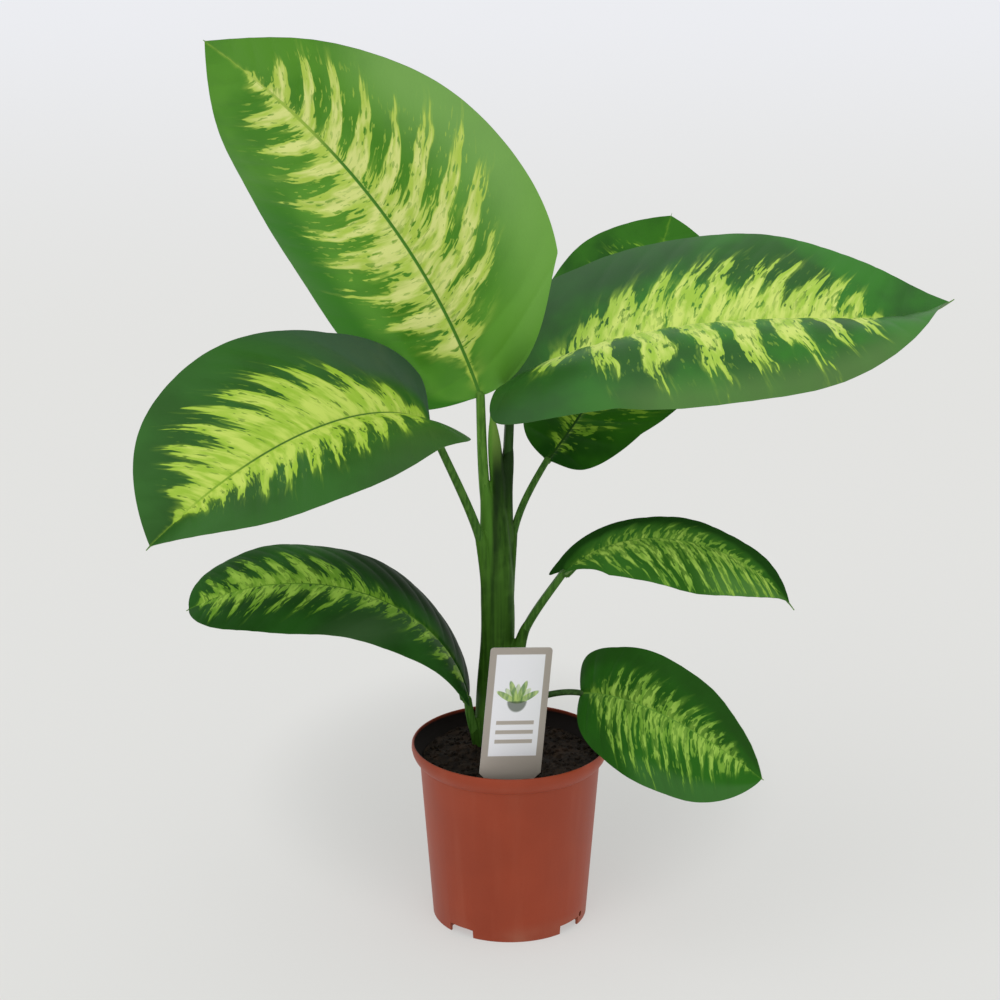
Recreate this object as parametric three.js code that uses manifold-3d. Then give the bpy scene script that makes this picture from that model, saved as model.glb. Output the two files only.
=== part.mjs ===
// A variegated dumb cane in a round plastic nursery pot, with its plant label.
// Millimetres, +Z up. The origin is the centre of the pot's underside, and -Y is the front.

import * as THREE from 'three';
import { mergeVertices } from 'three/addons/utils/BufferGeometryUtils.js';
import Module from 'manifold-3d';

const wasm = await Module();
wasm.setup();

// Pot
const NECK_RADIUS = 77.8;
const NECK_HEIGHT = 143.5;
const FOOT_RADIUS = 67;
const POT_WALL = 1.8;
// The rim's flared lip, as steps out from the neck and up from it: its outer face and its inner face.
const LIP_OUTSIDE = [[0, 0], [3.2, 3.5], [5.7, 6.5], [7.2, 11.5], [6.9, 15.3], [6, 16.5]];
const LIP_INSIDE = [[5, 16.5], [4.8, 15.3], [5.4, 11.9], [4.3, 7.7], [1.9, 4.8]];
const FLOOR_LIFT = 4;
const STAND_RADIUS = 38;
const FOOT_RING = 2.4;
const POT_SEGMENTS = 40;
const NOTCH_AZIMUTHS = [-129, -39, 51, 141];
const NOTCH_WIDTH = 25;
const NOTCH_HEIGHT = 8;
const NOTCH_REACH = 12;
const DRAIN_HOLES = 8;
const DRAIN_CIRCLE = 50;
const DRAIN_RADIUS = 4;
const SIDE_HOLE_AZIMUTHS = [-25, 155];
const SIDE_HOLE_RADIUS = 2.5;
const SIDE_HOLE_HEIGHT = 9;
const CUTTER_LENGTH = 20;

// Soil
const GAP = 0.3;
const SOIL_LEVEL = 147;
const SOIL_EDGE_DROP = 2.5;
const MOUND_HEIGHT = 5;
const MOUND_SPREAD = 24;
const SOIL_SEGMENTS = 24;
const SOIL_SEED = 11;
const CRUMBS = 34;
const CRUMB_SIZES = [1.8, 4.2];
const STEM_FOOT = [-18, 22];

// Label
const LABEL_WIDTH = 54;
const LABEL_HEIGHT = 119;
const LABEL_THICKNESS = 1;
const LABEL_CORNER = 3;
const LABEL_SHOULDER = 6;
const LABEL_LEAN = 5.2;
const LABEL_TURN = 15;
const LABEL_FOOT = [-0.6, -61, 150];
const STAKE_WIDTH = 16;
const STAKE_LENGTH = 44;
const STAKE_POINT = 14;

// Leaves
const BLADE_THICKNESS = 0.9;
const VEIN_SWEEP = 0.14;
const SWEEP_POWER = 1.6;
const FLICK_POWER = 8;
const LOBE_END = 0.16;
const MIDRIB_STEPS = 40;
const BLADE_ROWS = 20;
const BLADE_COLUMNS = [-1, -0.76, -0.52, -0.28, -0.07, 0, 0.07, 0.28, 0.52, 0.76, 1];
const RIB_DEPTH = 3;
const STALK_SIDES = 8;
const STALK_STEPS = 8;
const STALK_RUN_IN = [0.02, 0.065, 0.12];
const SOCKET_DEPTH = 12;
const SOCKET_WALL = 1.5;
const SOCKET_CLEARANCE = 0.35;
const SHEATH_STEPS = 8;
const SHEATH_SIDES = 10;
const CANE_SIDES = 14;

// Each blade: base is where stalk and blade meet, half is the width left and right of the midrib. The midrib
// leaves the base at heading and rise, in degrees, turns by sway and falls by droop, and flick lifts its last
// part. roll and twist turn the blade round it. Each half rises by fold at the midrib and bends down by curl
// to its edge. lobe is how far it reaches back past the base, as a share of the length. outline gives the
// powers of its width curve. stalk holds the free stalk's start, its two handles and its radii at both ends,
// and sheath holds the points and radii of the stalk's base along the cane.
const LEAVES = [
  {
    name: 'leaf_top', colour: 0x5c9430,
    base: [-25, 27, 463], length: 387, half: [110, 121],
    heading: 194, rise: 72, droop: 35, bend: 0.95, flick: 0, sway: -4, roll: -98, twist: -21,
    fold: [10, 11], curl: [55, 19], lobe: [0.06, -0.04], outline: [0.52, 0.8, 0.98], wave: 2, waves: 3,
    stalk: { start: [-19.5, 15, 366], handles: [[-4, 1, 30], [1, -2, -34]], radii: [4.8, 3.8] },
    sheath: [[-13.5, 17, 262, 9], [-18, 14.5, 330, 7.8]],
  },
  {
    name: 'leaf_upper_right', colour: 0x3f7a2b,
    base: [0, 34, 467], length: 388.5, half: [119, 126],
    heading: -4, rise: 40.5, droop: 56.5, bend: 0.585, flick: 48, sway: 18, roll: 8, twist: 2.5,
    fold: [29.5, 45.5], curl: [24.5, 116.5], lobe: [0.14, 0.12], outline: [0.41, 1.19, 0.945],
    wave: 1.6, waves: 2.5,
    stalk: { start: [-2, 28, 406], handles: [[0.2, 0.5, 18], [0, -2, -24]], radii: [4.6, 3.8] },
    sheath: [[-9, 18, 262, 10], [-6, 24, 330, 9], [-4.5, 27, 376, 7.4]],
  },
  {
    name: 'leaf_back', colour: 0x2f6326,
    base: [32, 48, 400], length: 299, half: [88, 87],
    heading: 54, rise: 27, droop: -11, bend: 1, flick: 0, sway: 18, roll: 20, twist: -8,
    fold: [8, 5], curl: [31, 30], lobe: [0.04, 0.07], outline: [0.62, 2.08, 1.01], wave: 2, waves: 3,
    stalk: { start: [1.5, 25, 326], handles: [[1, 4, 26], [-17.5, -8, -28]], radii: [3.4, 2.8] },
    sheath: [[-5, 18, 236, 8], [-1.5, 21, 290, 5.5]],
  },
  {
    name: 'leaf_left', colour: 0x3c7330,
    base: [-66, -30, 456], length: 307, half: [98, 101],
    heading: 227, rise: 44, droop: 78, bend: 0.52, flick: 0, sway: -9, roll: -31, twist: 6,
    fold: [36, 21], curl: [36, 23], lobe: [0.06, 0.09], outline: [0.44, 1.44, 0.93], wave: 1.6, waves: 2.5,
    stalk: { start: [-24, 7, 338], handles: [[-7, -7, 32], [12, 9, -34]], radii: [4.4, 3.4] },
    sheath: [[-16, 15, 236, 8.5], [-19.5, 11, 296, 5.5]],
  },
  {
    name: 'leaf_low_left', colour: 0x2c5423,
    base: [-36, 8, 195], length: 299, half: [63, 64],
    heading: 199, rise: 84, droop: 113, bend: 0.82, flick: 0, sway: -21, roll: -19, twist: 1,
    fold: [10, 10], curl: [29, 32], lobe: [0.03, 0], outline: [0.37, 1.31, 0.5], wave: 1.2, waves: 3,
    stalk: { start: [-28, 14, 157], handles: [[-4, -2, 12], [1, 2, -13]], radii: [5, 3.7] },
    sheath: [[-14, 19, 112, 8.5], [-22, 16.5, 136, 7.4]],
  },
  {
    name: 'leaf_low_right', colour: 0x3f6c35,
    base: [45, 0, 314], length: 221, half: [61, 64],
    heading: -11, rise: 53, droop: 105, bend: 0.81, flick: 0, sway: 6, roll: 12, twist: -7,
    fold: [14, 15], curl: [50, 57], lobe: [0.18, -0.03], outline: [0.67, 1.44, 1.19], wave: 1, waves: 3,
    stalk: { start: [11, 10, 254], handles: [[6, -3, 18], [-13, 2, -20]], radii: [4, 3.4] },
    sheath: [[-5, 17, 178, 9], [5, 13, 225, 7.5]],
  },
  {
    name: 'leaf_bottom_right', colour: 0x3e6a34,
    base: [61, 0, 204.5], length: 220.5, half: [51.5, 62],
    heading: -54, rise: 21, droop: 41.5, bend: 0.765, flick: 0, sway: 11, roll: 65.5, twist: 21,
    fold: [19, 12], curl: [14.5, 14], lobe: [0.045, 0.008], outline: [0.48, 0.82, 0.7], wave: 1.2, waves: 3,
    stalk: { start: [7, 13, 186], handles: [[12, -3, 10], [-18, 1, 3]], radii: [3, 2.6] },
    sheath: [[-13, 18, 138, 7], [-4, 16, 166, 5.5]],
  },
];

// The cane from under the soil to where the youngest leaves part, and the free tip of the youngest sheath.
const CANE = [
  [...STEM_FOOT, 108, 13], [-15.5, 20, 190, 14], [-10.5, 18, 250, 14.6],
  [-11, 18, 300, 14], [-11, 19, 345, 10.5], [-11, 20, 372, 7.5],
];
const SHEATH_TIP = [[-9, 22, 372, 6], [-13, 20, 420, 5.8], [-15.5, 18, 452, 1.6]];

// Edges shorter than this are merged after joining and cutting.
const SLIVER = 0.03;

function radians(degrees) {
  return degrees * Math.PI / 180;
}

function seededRandom(seed) {
  let state = seed;
  return () => {
    state = (state * 16807) % 2147483647;
    return state / 2147483647;
  };
}

// Solids and meshes

function solid(geometry) {
  const bare = geometry.clone();
  bare.deleteAttribute('normal');
  bare.deleteAttribute('uv');
  const merged = mergeVertices(bare, 1e-4);
  return new wasm.Manifold(new wasm.Mesh({
    numProp: 3,
    vertProperties: new Float32Array(merged.attributes.position.array),
    triVerts: new Uint32Array(merged.index.array),
  }));
}

function geometryOf(body) {
  const mesh = body.getMesh();
  const geometry = new THREE.BufferGeometry();
  geometry.setAttribute('position', new THREE.BufferAttribute(new Float32Array(mesh.vertProperties), 3));
  geometry.setIndex(new THREE.BufferAttribute(new Uint32Array(mesh.triVerts), 1));
  return geometry;
}

// Drops loose scraps and the slivers that joining and cutting leave.
function cleaned(body) {
  const bodies = body.simplify(SLIVER).decompose();
  return bodies.reduce((a, b) => (a.volume() > b.volume() ? a : b));
}

function indexed(points, faces) {
  const geometry = new THREE.BufferGeometry();
  geometry.setAttribute('position', new THREE.Float32BufferAttribute(points.flatMap((p) => p.toArray()), 3));
  geometry.setIndex(faces.flat());
  return geometry;
}

function finish(name, body, colour, roughness) {
  const geometry = body.isBufferGeometry ? body : geometryOf(body);
  const material = new THREE.MeshStandardMaterial({ color: colour, roughness, metalness: 0 });
  const mesh = new THREE.Mesh(geometry, material);
  mesh.name = name;
  return mesh;
}

// A round tube along a curve, closed at both ends, with its radius given by a function of the way along.
function taperedTube(curve, radiusAt, steps, sides) {
  const frames = curve.computeFrenetFrames(steps, false);
  const points = [];
  const faces = [];
  for (let i = 0; i <= steps; i += 1) {
    const centre = curve.getPointAt(i / steps);
    for (let j = 0; j < sides; j += 1) {
      const angle = 2 * Math.PI * j / sides;
      const radius = radiusAt(i / steps);
      points.push(centre.clone()
        .addScaledVector(frames.normals[i], radius * Math.cos(angle))
        .addScaledVector(frames.binormals[i], radius * Math.sin(angle)));
    }
  }
  for (let i = 0; i < steps; i += 1) {
    for (let j = 0; j < sides; j += 1) {
      const a = i * sides + j;
      const b = i * sides + (j + 1) % sides;
      faces.push([a, b, b + sides], [a, b + sides, a + sides]);
    }
  }
  const last = steps * sides;
  for (let j = 1; j < sides - 1; j += 1) {
    faces.push([0, j + 1, j], [last, last + j, last + j + 1]);
  }
  return solid(indexed(points, faces));
}

// A tube through points that each carry their own radius: [x, y, z, radius].
function tubeThrough(stations, grow, steps, sides) {
  const points = stations.map(([x, y, z]) => new THREE.Vector3(x, y, z));
  const first = points[0].clone().sub(points[1]).setLength(grow);
  points[0].add(first);
  const curve = new THREE.CatmullRomCurve3(points, false, 'centripetal');
  const radiusAt = (s) => {
    const k = Math.min(s * (stations.length - 1), stations.length - 1.001);
    const i = Math.floor(k);
    return THREE.MathUtils.lerp(stations[i][3], stations[i + 1][3], k - i) + grow;
  };
  return taperedTube(curve, radiusAt, steps, sides);
}

// Leaves

class Blade {
  constructor(leaf) {
    this.leaf = leaf;
    const [a, k, b] = leaf.outline;
    this.width = (u) => u ** a * (1 - u ** k) ** b;
    this.widest = Math.max(...Array.from({ length: 999 }, (_, i) => this.width((i + 1) / 1000)));
    this.midrib = [new THREE.Vector3(...leaf.base)];
    for (let i = 0; i < MIDRIB_STEPS; i += 1) {
      const step = this.along((i + 0.5) / MIDRIB_STEPS).multiplyScalar(leaf.length / MIDRIB_STEPS);
      this.midrib.push(this.midrib[i].clone().add(step));
    }
  }

  along(u) {
    const heading = radians(this.leaf.heading + this.leaf.sway * u);
    const lift = this.leaf.flick * u ** FLICK_POWER;
    const pitch = radians(this.leaf.rise - this.leaf.droop * u ** this.leaf.bend + lift);
    return new THREE.Vector3(
      Math.cos(pitch) * Math.cos(heading), Math.cos(pitch) * Math.sin(heading), Math.sin(pitch));
  }

  // The midrib's point, and the directions to the blade's left side and out of its upper face.
  frame(share) {
    const u = THREE.MathUtils.clamp(share, 0, 1);
    const along = this.along(u);
    const heading = radians(this.leaf.heading + this.leaf.sway * u);
    const roll = radians(this.leaf.roll + this.leaf.twist * u);
    const level = new THREE.Vector3(-Math.sin(heading), Math.cos(heading), 0);
    const above = along.clone().cross(level);
    const side = level.clone().multiplyScalar(Math.cos(roll)).addScaledVector(above, Math.sin(roll));
    const out = above.clone().multiplyScalar(Math.cos(roll)).addScaledVector(level, -Math.sin(roll));
    const i = Math.min(Math.floor(u * MIDRIB_STEPS), MIDRIB_STEPS - 1);
    const point = this.midrib[i].clone().lerp(this.midrib[i + 1], u * MIDRIB_STEPS - i)
      .addScaledVector(along, (share - u) * this.leaf.length);
    return { point, side, out };
  }

  // The upper face, sunk by depth, at u along the midrib and t across: 1 at the left edge, -1 at the right.
  surface(u, t, depth) {
    const leaf = this.leaf;
    const i = t < 0 ? 1 : 0;
    const across = Math.abs(t);
    const back = u < LOBE_END ? leaf.lobe[i] * Math.sin(Math.PI * u / LOBE_END) : 0;
    const forward = (VEIN_SWEEP * Math.sin(Math.PI * u) - back) * across ** SWEEP_POWER;
    const reach = leaf.half[i] * this.width(u) / this.widest * across;
    const fold = radians(leaf.fold[i]);
    const bend = radians(leaf.curl[i]) / leaf.half[i];
    const slope = fold - bend * reach;
    const sideways = (Math.sin(fold) - Math.sin(slope)) / bend;
    const ripple = leaf.wave * Math.sin(2 * Math.PI * leaf.waves * u + 2 * i) * (reach / leaf.half[i]) ** 2;
    const height = (Math.cos(slope) - Math.cos(fold)) / bend + ripple;
    const { point, side, out } = this.frame(u + forward);
    const sign = Math.sign(t);
    const sink = t === 0 ? 0 : slope;
    return point
      .addScaledVector(side, sign * (sideways + depth * Math.sin(sink)))
      .addScaledVector(out, height - depth * Math.cos(sink));
  }
}

function bladeThickness(u, t) {
  return BLADE_THICKNESS + (Math.abs(t) < 0.01 ? RIB_DEPTH * (1 - u) ** 0.7 : 0);
}

// Upper and lower faces share one pattern of triangles, joined by a wall round the edge.
function bladeSolid(blade) {
  const columns = BLADE_COLUMNS.length;
  const inner = BLADE_ROWS - 1;
  const share = (row) => (1 - Math.cos(Math.PI * row / BLADE_ROWS)) / 2;
  const points = [];
  for (const lower of [0, 1]) {
    for (let row = 1; row <= inner; row += 1) {
      for (const t of BLADE_COLUMNS) {
        points.push(blade.surface(share(row), t, lower * bladeThickness(share(row), t)));
      }
    }
    points.push(blade.surface(0, 0, lower * bladeThickness(0, 0)));
    points.push(blade.surface(1, 0, lower * BLADE_THICKNESS));
  }
  const sheet = inner * columns + 2;
  const at = (lower, row, column) => lower * sheet + (row - 1) * columns + column;
  const ends = [0, 1].map((lower) => [lower * sheet + sheet - 2, lower * sheet + sheet - 1]);
  const faces = [];
  const addBoth = (upper) => {
    faces.push(upper);
    faces.push([upper[2] + sheet, upper[1] + sheet, upper[0] + sheet]);
  };
  for (let column = 0; column < columns - 1; column += 1) {
    addBoth([ends[0][0], at(0, 1, column), at(0, 1, column + 1)]);
    for (let row = 1; row < inner; row += 1) {
      addBoth([at(0, row, column), at(0, row + 1, column), at(0, row + 1, column + 1)]);
      addBoth([at(0, row, column), at(0, row + 1, column + 1), at(0, row, column + 1)]);
    }
    addBoth([at(0, inner, column), ends[0][1], at(0, inner, column + 1)]);
  }
  const wall = (a, b) => faces.push([b, a, a + sheet], [b, a + sheet, b + sheet]);
  for (let row = 1; row < inner; row += 1) {
    wall(at(0, row, 0), at(0, row + 1, 0));
    wall(at(0, row + 1, columns - 1), at(0, row, columns - 1));
  }
  wall(ends[0][0], at(0, 1, 0));
  wall(at(0, inner, 0), ends[0][1]);
  wall(ends[0][1], at(0, inner, columns - 1));
  wall(at(0, 1, columns - 1), ends[0][0]);
  return solid(indexed(points, faces));
}

function stalkCurve(leaf) {
  const start = new THREE.Vector3(...leaf.stalk.start);
  const end = new THREE.Vector3(...leaf.base);
  const [first, second] = leaf.stalk.handles.map((handle) => new THREE.Vector3(...handle));
  return new THREE.CubicBezierCurve3(start, start.clone().add(first), end.clone().add(second), end);
}

// The free stalk, run on for a little way under the blade's midrib.
function stalkSolid(leaf, blade) {
  const curve = stalkCurve(leaf);
  const [lowRadius, highRadius] = leaf.stalk.radii;
  const path = curve.getSpacedPoints(STALK_STEPS).slice(0, -1);
  for (const share of STALK_RUN_IN) {
    path.push(blade.surface(share, 0, highRadius * (0.9 - 2 * share)));
  }
  const whole = new THREE.CatmullRomCurve3(path, false, 'centripetal');
  const free = curve.getLength() / whole.getLength();
  const radiusAt = (s) => (s < free
    ? THREE.MathUtils.lerp(lowRadius, highRadius, s / free)
    : THREE.MathUtils.lerp(highRadius, highRadius * 0.4, (s - free) / (1 - free)));
  return taperedTube(whole, radiusAt, STALK_STEPS + 4, STALK_SIDES);
}

function leafSolid(leaf) {
  const blade = new Blade(leaf);
  return cleaned(bladeSolid(blade).add(stalkSolid(leaf, blade)));
}

// Stem

// The room that a stalk needs in the stem: its own tube, a little larger and run a little further down.
function stalkRoom(leaf) {
  const curve = stalkCurve(leaf);
  const down = curve.getTangentAt(0).multiplyScalar(-SOCKET_CLEARANCE);
  const path = curve.getSpacedPoints(STALK_STEPS);
  path[0].add(down);
  const [lowRadius, highRadius] = leaf.stalk.radii;
  const radiusAt = (s) => THREE.MathUtils.lerp(lowRadius, highRadius, s) + 2 * SOCKET_CLEARANCE;
  const room = new THREE.CatmullRomCurve3(path, false, 'centripetal');
  return taperedTube(room, radiusAt, STALK_STEPS, STALK_SIDES);
}

// A leaf's sheathing base: from deep in the cane to the mouth that holds the stalk.
function sheathSolid(leaf, grow) {
  const curve = stalkCurve(leaf);
  const mouthShare = SOCKET_DEPTH / curve.getLength();
  const mouth = curve.getPointAt(mouthShare);
  const mouthRadius = leaf.stalk.radii[0] + 2 * SOCKET_CLEARANCE + SOCKET_WALL;
  const start = [...leaf.stalk.start, mouthRadius + 0.6];
  const stations = [...leaf.sheath, start, [...mouth.toArray(), mouthRadius]];
  return tubeThrough(stations, grow, SHEATH_STEPS, SHEATH_SIDES);
}

function stemColumn(grow) {
  let body = tubeThrough(CANE, grow, SHEATH_STEPS, CANE_SIDES);
  body = body.add(tubeThrough(SHEATH_TIP, grow, STALK_STEPS / 2, STALK_SIDES));
  for (const leaf of LEAVES) {
    body = body.add(sheathSolid(leaf, grow));
  }
  return body;
}

function stemSolid() {
  let body = stemColumn(0);
  for (const leaf of LEAVES) {
    body = body.subtract(stalkRoom(leaf));
  }
  return cleaned(body);
}

// Pot

function innerRadius(z) {
  return THREE.MathUtils.lerp(FOOT_RADIUS, NECK_RADIUS, z / NECK_HEIGHT) - POT_WALL;
}

function potSolid() {
  const floorTop = FLOOR_LIFT + POT_WALL;
  const ringInside = FOOT_RADIUS - FOOT_RING;
  const profile = [
    [0, 0], [STAND_RADIUS, 0], [STAND_RADIUS + 2, FLOOR_LIFT], [ringInside, FLOOR_LIFT], [ringInside, 0],
    [FOOT_RADIUS - 0.6, 0], [FOOT_RADIUS, 0.8],
    ...[...LIP_OUTSIDE, ...LIP_INSIDE].map(([out, up]) => [NECK_RADIUS + out, NECK_HEIGHT + up]),
    [innerRadius(NECK_HEIGHT), NECK_HEIGHT + 0.8], [innerRadius(floorTop), floorTop],
    [STAND_RADIUS + 1, floorTop], [STAND_RADIUS - 1, POT_WALL], [0, POT_WALL],
  ];
  const lathe = new THREE.LatheGeometry(profile.map(([r, z]) => new THREE.Vector2(r, z)), POT_SEGMENTS);
  let body = solid(lathe.rotateX(Math.PI / 2));
  for (const azimuth of NOTCH_AZIMUTHS) {
    const notch = new THREE.BoxGeometry(NOTCH_REACH, NOTCH_WIDTH, 2 * NOTCH_HEIGHT);
    notch.translate(FOOT_RADIUS, 0, 0).rotateZ(radians(azimuth));
    body = body.subtract(solid(notch));
  }
  for (let i = 0; i < DRAIN_HOLES; i += 1) {
    const hole = new THREE.CylinderGeometry(DRAIN_RADIUS, DRAIN_RADIUS, CUTTER_LENGTH, 12);
    hole.rotateX(Math.PI / 2).translate(DRAIN_CIRCLE, 0, 0).rotateZ(2 * Math.PI * (i + 0.5) / DRAIN_HOLES);
    body = body.subtract(solid(hole));
  }
  for (const azimuth of SIDE_HOLE_AZIMUTHS) {
    const hole = new THREE.CylinderGeometry(SIDE_HOLE_RADIUS, SIDE_HOLE_RADIUS, CUTTER_LENGTH, 10);
    hole.rotateZ(Math.PI / 2).translate(FOOT_RADIUS, 0, SIDE_HOLE_HEIGHT).rotateZ(radians(azimuth));
    body = body.subtract(solid(hole));
  }
  return body;
}

// Label

function labelGeometry(grow) {
  const halfWidth = LABEL_WIDTH / 2;
  const halfStake = STAKE_WIDTH / 2 + grow;
  const tip = -STAKE_LENGTH - 2 * grow;
  const shape = new THREE.Shape();
  shape.moveTo(0, tip);
  shape.lineTo(halfStake, tip + STAKE_POINT);
  shape.lineTo(halfStake, -grow);
  shape.lineTo(halfWidth - LABEL_SHOULDER, -grow);
  shape.lineTo(halfWidth, LABEL_SHOULDER);
  shape.lineTo(halfWidth, LABEL_HEIGHT - LABEL_CORNER);
  const cornerX = halfWidth - LABEL_CORNER;
  const cornerY = LABEL_HEIGHT - LABEL_CORNER;
  shape.absarc(cornerX, cornerY, LABEL_CORNER, 0, Math.PI / 2, false);
  shape.absarc(-cornerX, cornerY, LABEL_CORNER, Math.PI / 2, Math.PI, false);
  shape.lineTo(-halfWidth, LABEL_SHOULDER);
  shape.lineTo(-halfWidth + LABEL_SHOULDER, -grow);
  shape.lineTo(-halfStake, -grow);
  shape.lineTo(-halfStake, tip + STAKE_POINT);
  const depth = LABEL_THICKNESS + 2 * grow;
  const card = new THREE.ExtrudeGeometry(shape, { depth, bevelEnabled: false, curveSegments: 3 });
  card.translate(0, 0, -depth / 2).rotateX(Math.PI / 2);
  card.rotateY(radians(LABEL_LEAN)).rotateZ(radians(LABEL_TURN));
  return card.translate(...LABEL_FOOT);
}

// Soil

function soilSurface(x, y) {
  const [stemX, stemY] = STEM_FOOT;
  const fromStem = ((x - stemX) ** 2 + (y - stemY) ** 2) / (2 * MOUND_SPREAD ** 2);
  const uneven = Math.sin(x / 9 + 1) * Math.cos(y / 11) + 0.6 * Math.sin((x + y) / 6);
  return SOIL_LEVEL + MOUND_HEIGHT * Math.exp(-fromStem) + uneven;
}

function soilSolid() {
  const edge = NECK_HEIGHT - SOIL_EDGE_DROP;
  const floorTop = FLOOR_LIFT + POT_WALL + GAP;
  const outer = (z) => innerRadius(z) - 2 * GAP;
  const ringTop = outer(edge);
  const profile = [
    [0, POT_WALL + GAP], [STAND_RADIUS - 1.5, POT_WALL + GAP], [STAND_RADIUS + 0.5, floorTop],
    [outer(floorTop), floorTop], [ringTop, edge], [ringTop - 4, SOIL_LEVEL], [61, SOIL_LEVEL],
    [46, SOIL_LEVEL], [31, SOIL_LEVEL], [15, SOIL_LEVEL], [0, SOIL_LEVEL],
  ];
  const lathe = new THREE.LatheGeometry(profile.map(([r, z]) => new THREE.Vector2(r, z)), SOIL_SEGMENTS);
  lathe.rotateX(Math.PI / 2);
  const places = lathe.attributes.position;
  for (let i = 0; i < places.count; i += 1) {
    if (places.getZ(i) > SOIL_LEVEL - 0.5) {
      places.setZ(i, soilSurface(places.getX(i), places.getY(i)));
    }
  }
  let body = solid(lathe);
  const random = seededRandom(SOIL_SEED);
  for (let i = 0; i < CRUMBS; i += 1) {
    const size = THREE.MathUtils.lerp(...CRUMB_SIZES, random() ** 2);
    const crumb = new THREE.IcosahedronGeometry(size, 0);
    crumb.rotateX(6 * random()).rotateY(6 * random()).scale(1, 0.8 + 0.4 * random(), 0.75);
    const radius = (ringTop - 8) * Math.sqrt(random());
    const angle = 2 * Math.PI * random();
    const x = radius * Math.cos(angle);
    const y = radius * Math.sin(angle);
    body = body.add(solid(crumb.translate(x, y, soilSurface(x, y) + 0.15 * size)));
  }
  body = body.subtract(stemColumn(GAP)).subtract(solid(labelGeometry(GAP)));
  return cleaned(body);
}

// The potted plant

const group = new THREE.Group();
group.add(finish('pot', potSolid(), 0x91462f, 0.5));
group.add(finish('soil', soilSolid(), 0x2b211a, 0.95));
group.add(finish('stem', stemSolid(), 0x3d6a24, 0.5));
for (const leaf of LEAVES) {
  group.add(finish(leaf.name, leafSolid(leaf), leaf.colour, 0.4));
}
group.add(finish('plant_label', labelGeometry(0), 0xe6e6e8, 0.4));

export default group;
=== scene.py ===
import math
import random

import bpy
import numpy as np
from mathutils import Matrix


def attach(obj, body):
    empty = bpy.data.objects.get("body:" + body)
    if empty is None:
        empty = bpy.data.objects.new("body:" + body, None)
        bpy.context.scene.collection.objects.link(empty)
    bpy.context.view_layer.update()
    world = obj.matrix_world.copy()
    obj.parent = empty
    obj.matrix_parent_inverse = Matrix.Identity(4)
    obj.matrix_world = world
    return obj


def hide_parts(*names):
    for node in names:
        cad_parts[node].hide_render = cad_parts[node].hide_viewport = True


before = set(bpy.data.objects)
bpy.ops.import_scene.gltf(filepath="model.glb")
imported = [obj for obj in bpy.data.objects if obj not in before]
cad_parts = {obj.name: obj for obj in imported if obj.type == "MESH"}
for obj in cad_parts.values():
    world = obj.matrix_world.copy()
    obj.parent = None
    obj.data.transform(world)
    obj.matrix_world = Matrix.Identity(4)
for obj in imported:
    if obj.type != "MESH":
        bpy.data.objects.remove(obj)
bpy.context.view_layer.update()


# The view. The camera stands 2.5 m in front of the plant, 1.2 m above the floor, and looks down on it, as in
# the photograph. The pot's rim and foot give the lens: they fix the distance, the dip and the scale.

CAMERA_PLACE = (-0.0085, -2.5, 1.221)
CAMERA_DIP = 18.6
LENS = 112.7
SENSOR = 36

bpy.ops.object.select_all(action="DESELECT")
bpy.ops.object.camera_add(location=CAMERA_PLACE, rotation=(math.radians(90 - CAMERA_DIP), 0, 0))
camera = bpy.context.object
camera.data.lens = LENS
camera.data.sensor_width = SENSOR
camera.data.clip_end = 100
bpy.context.scene.camera = camera
bpy.context.scene.view_settings.view_transform = "Standard"


# The studio. The plant stands on a plain pale floor that fills the view, under a bright even sky like
# that of a light tent. One broad soft light comes from above, in front and to the left.

FLOOR_SIZE = 40
FLOOR_GLOW = 0.45
# Its tone changes between these distances behind the plant. In an oval behind the pot it glows less: a
# painted shadow of the plant.
FLOOR_FADE = (1.5, 5.0)
SHADE_PLACE = (0.0, 0.28)
SHADE_RADII = (0.27, 0.34)
SHADE_SHARE = 0.25
SKY_COLOUR = (0.82, 0.82, 0.815)
SKY_STRENGTH = 1.0
KEY_STRENGTH = 0.5
KEY_ANGLE = 60
KEY_TURN = (30, 0, -35)


class Wire:
    """One value in a finish's node tree. Python's operators on it add the Math nodes that work them out."""

    def __init__(self, finish, socket):
        self.finish = finish
        self.socket = socket

    def maths(self, operation, *values):
        return self.finish.node("ShaderNodeMath", {"operation": operation}, dict(enumerate(values)))

    def __add__(self, other):
        return self.maths("ADD", self, other)

    __radd__ = __add__

    def __mul__(self, other):
        return self.maths("MULTIPLY", self, other)

    __rmul__ = __mul__

    def __sub__(self, other):
        return self.maths("SUBTRACT", self, other)

    def __rsub__(self, other):
        return self.maths("SUBTRACT", other, self)

    def __truediv__(self, other):
        return self.maths("DIVIDE", self, other)

    def __pow__(self, other):
        return self.maths("POWER", self, other)

    def __abs__(self):
        return self.maths("ABSOLUTE", self)

    def __gt__(self, other):
        return self.maths("GREATER_THAN", self, other)

    def sine(self):
        return self.maths("SINE", self)

    def most(self, other):
        return self.maths("MAXIMUM", self, other)

    def rise(self, low, high, bottom=0.0, top=1.0):
        """A smooth step from bottom to top as the value goes from low to high."""
        settings = {"interpolation_type": "SMOOTHSTEP"}
        return self.finish.node("ShaderNodeMapRange", settings, {0: self, 1: low, 2: high, 3: bottom, 4: top})

    def past(self, line, soft):
        """A step from 0 to 1 where the value passes a line, as wide as soft on both sides of it."""
        return self.rise(line - soft, line + soft)


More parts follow.
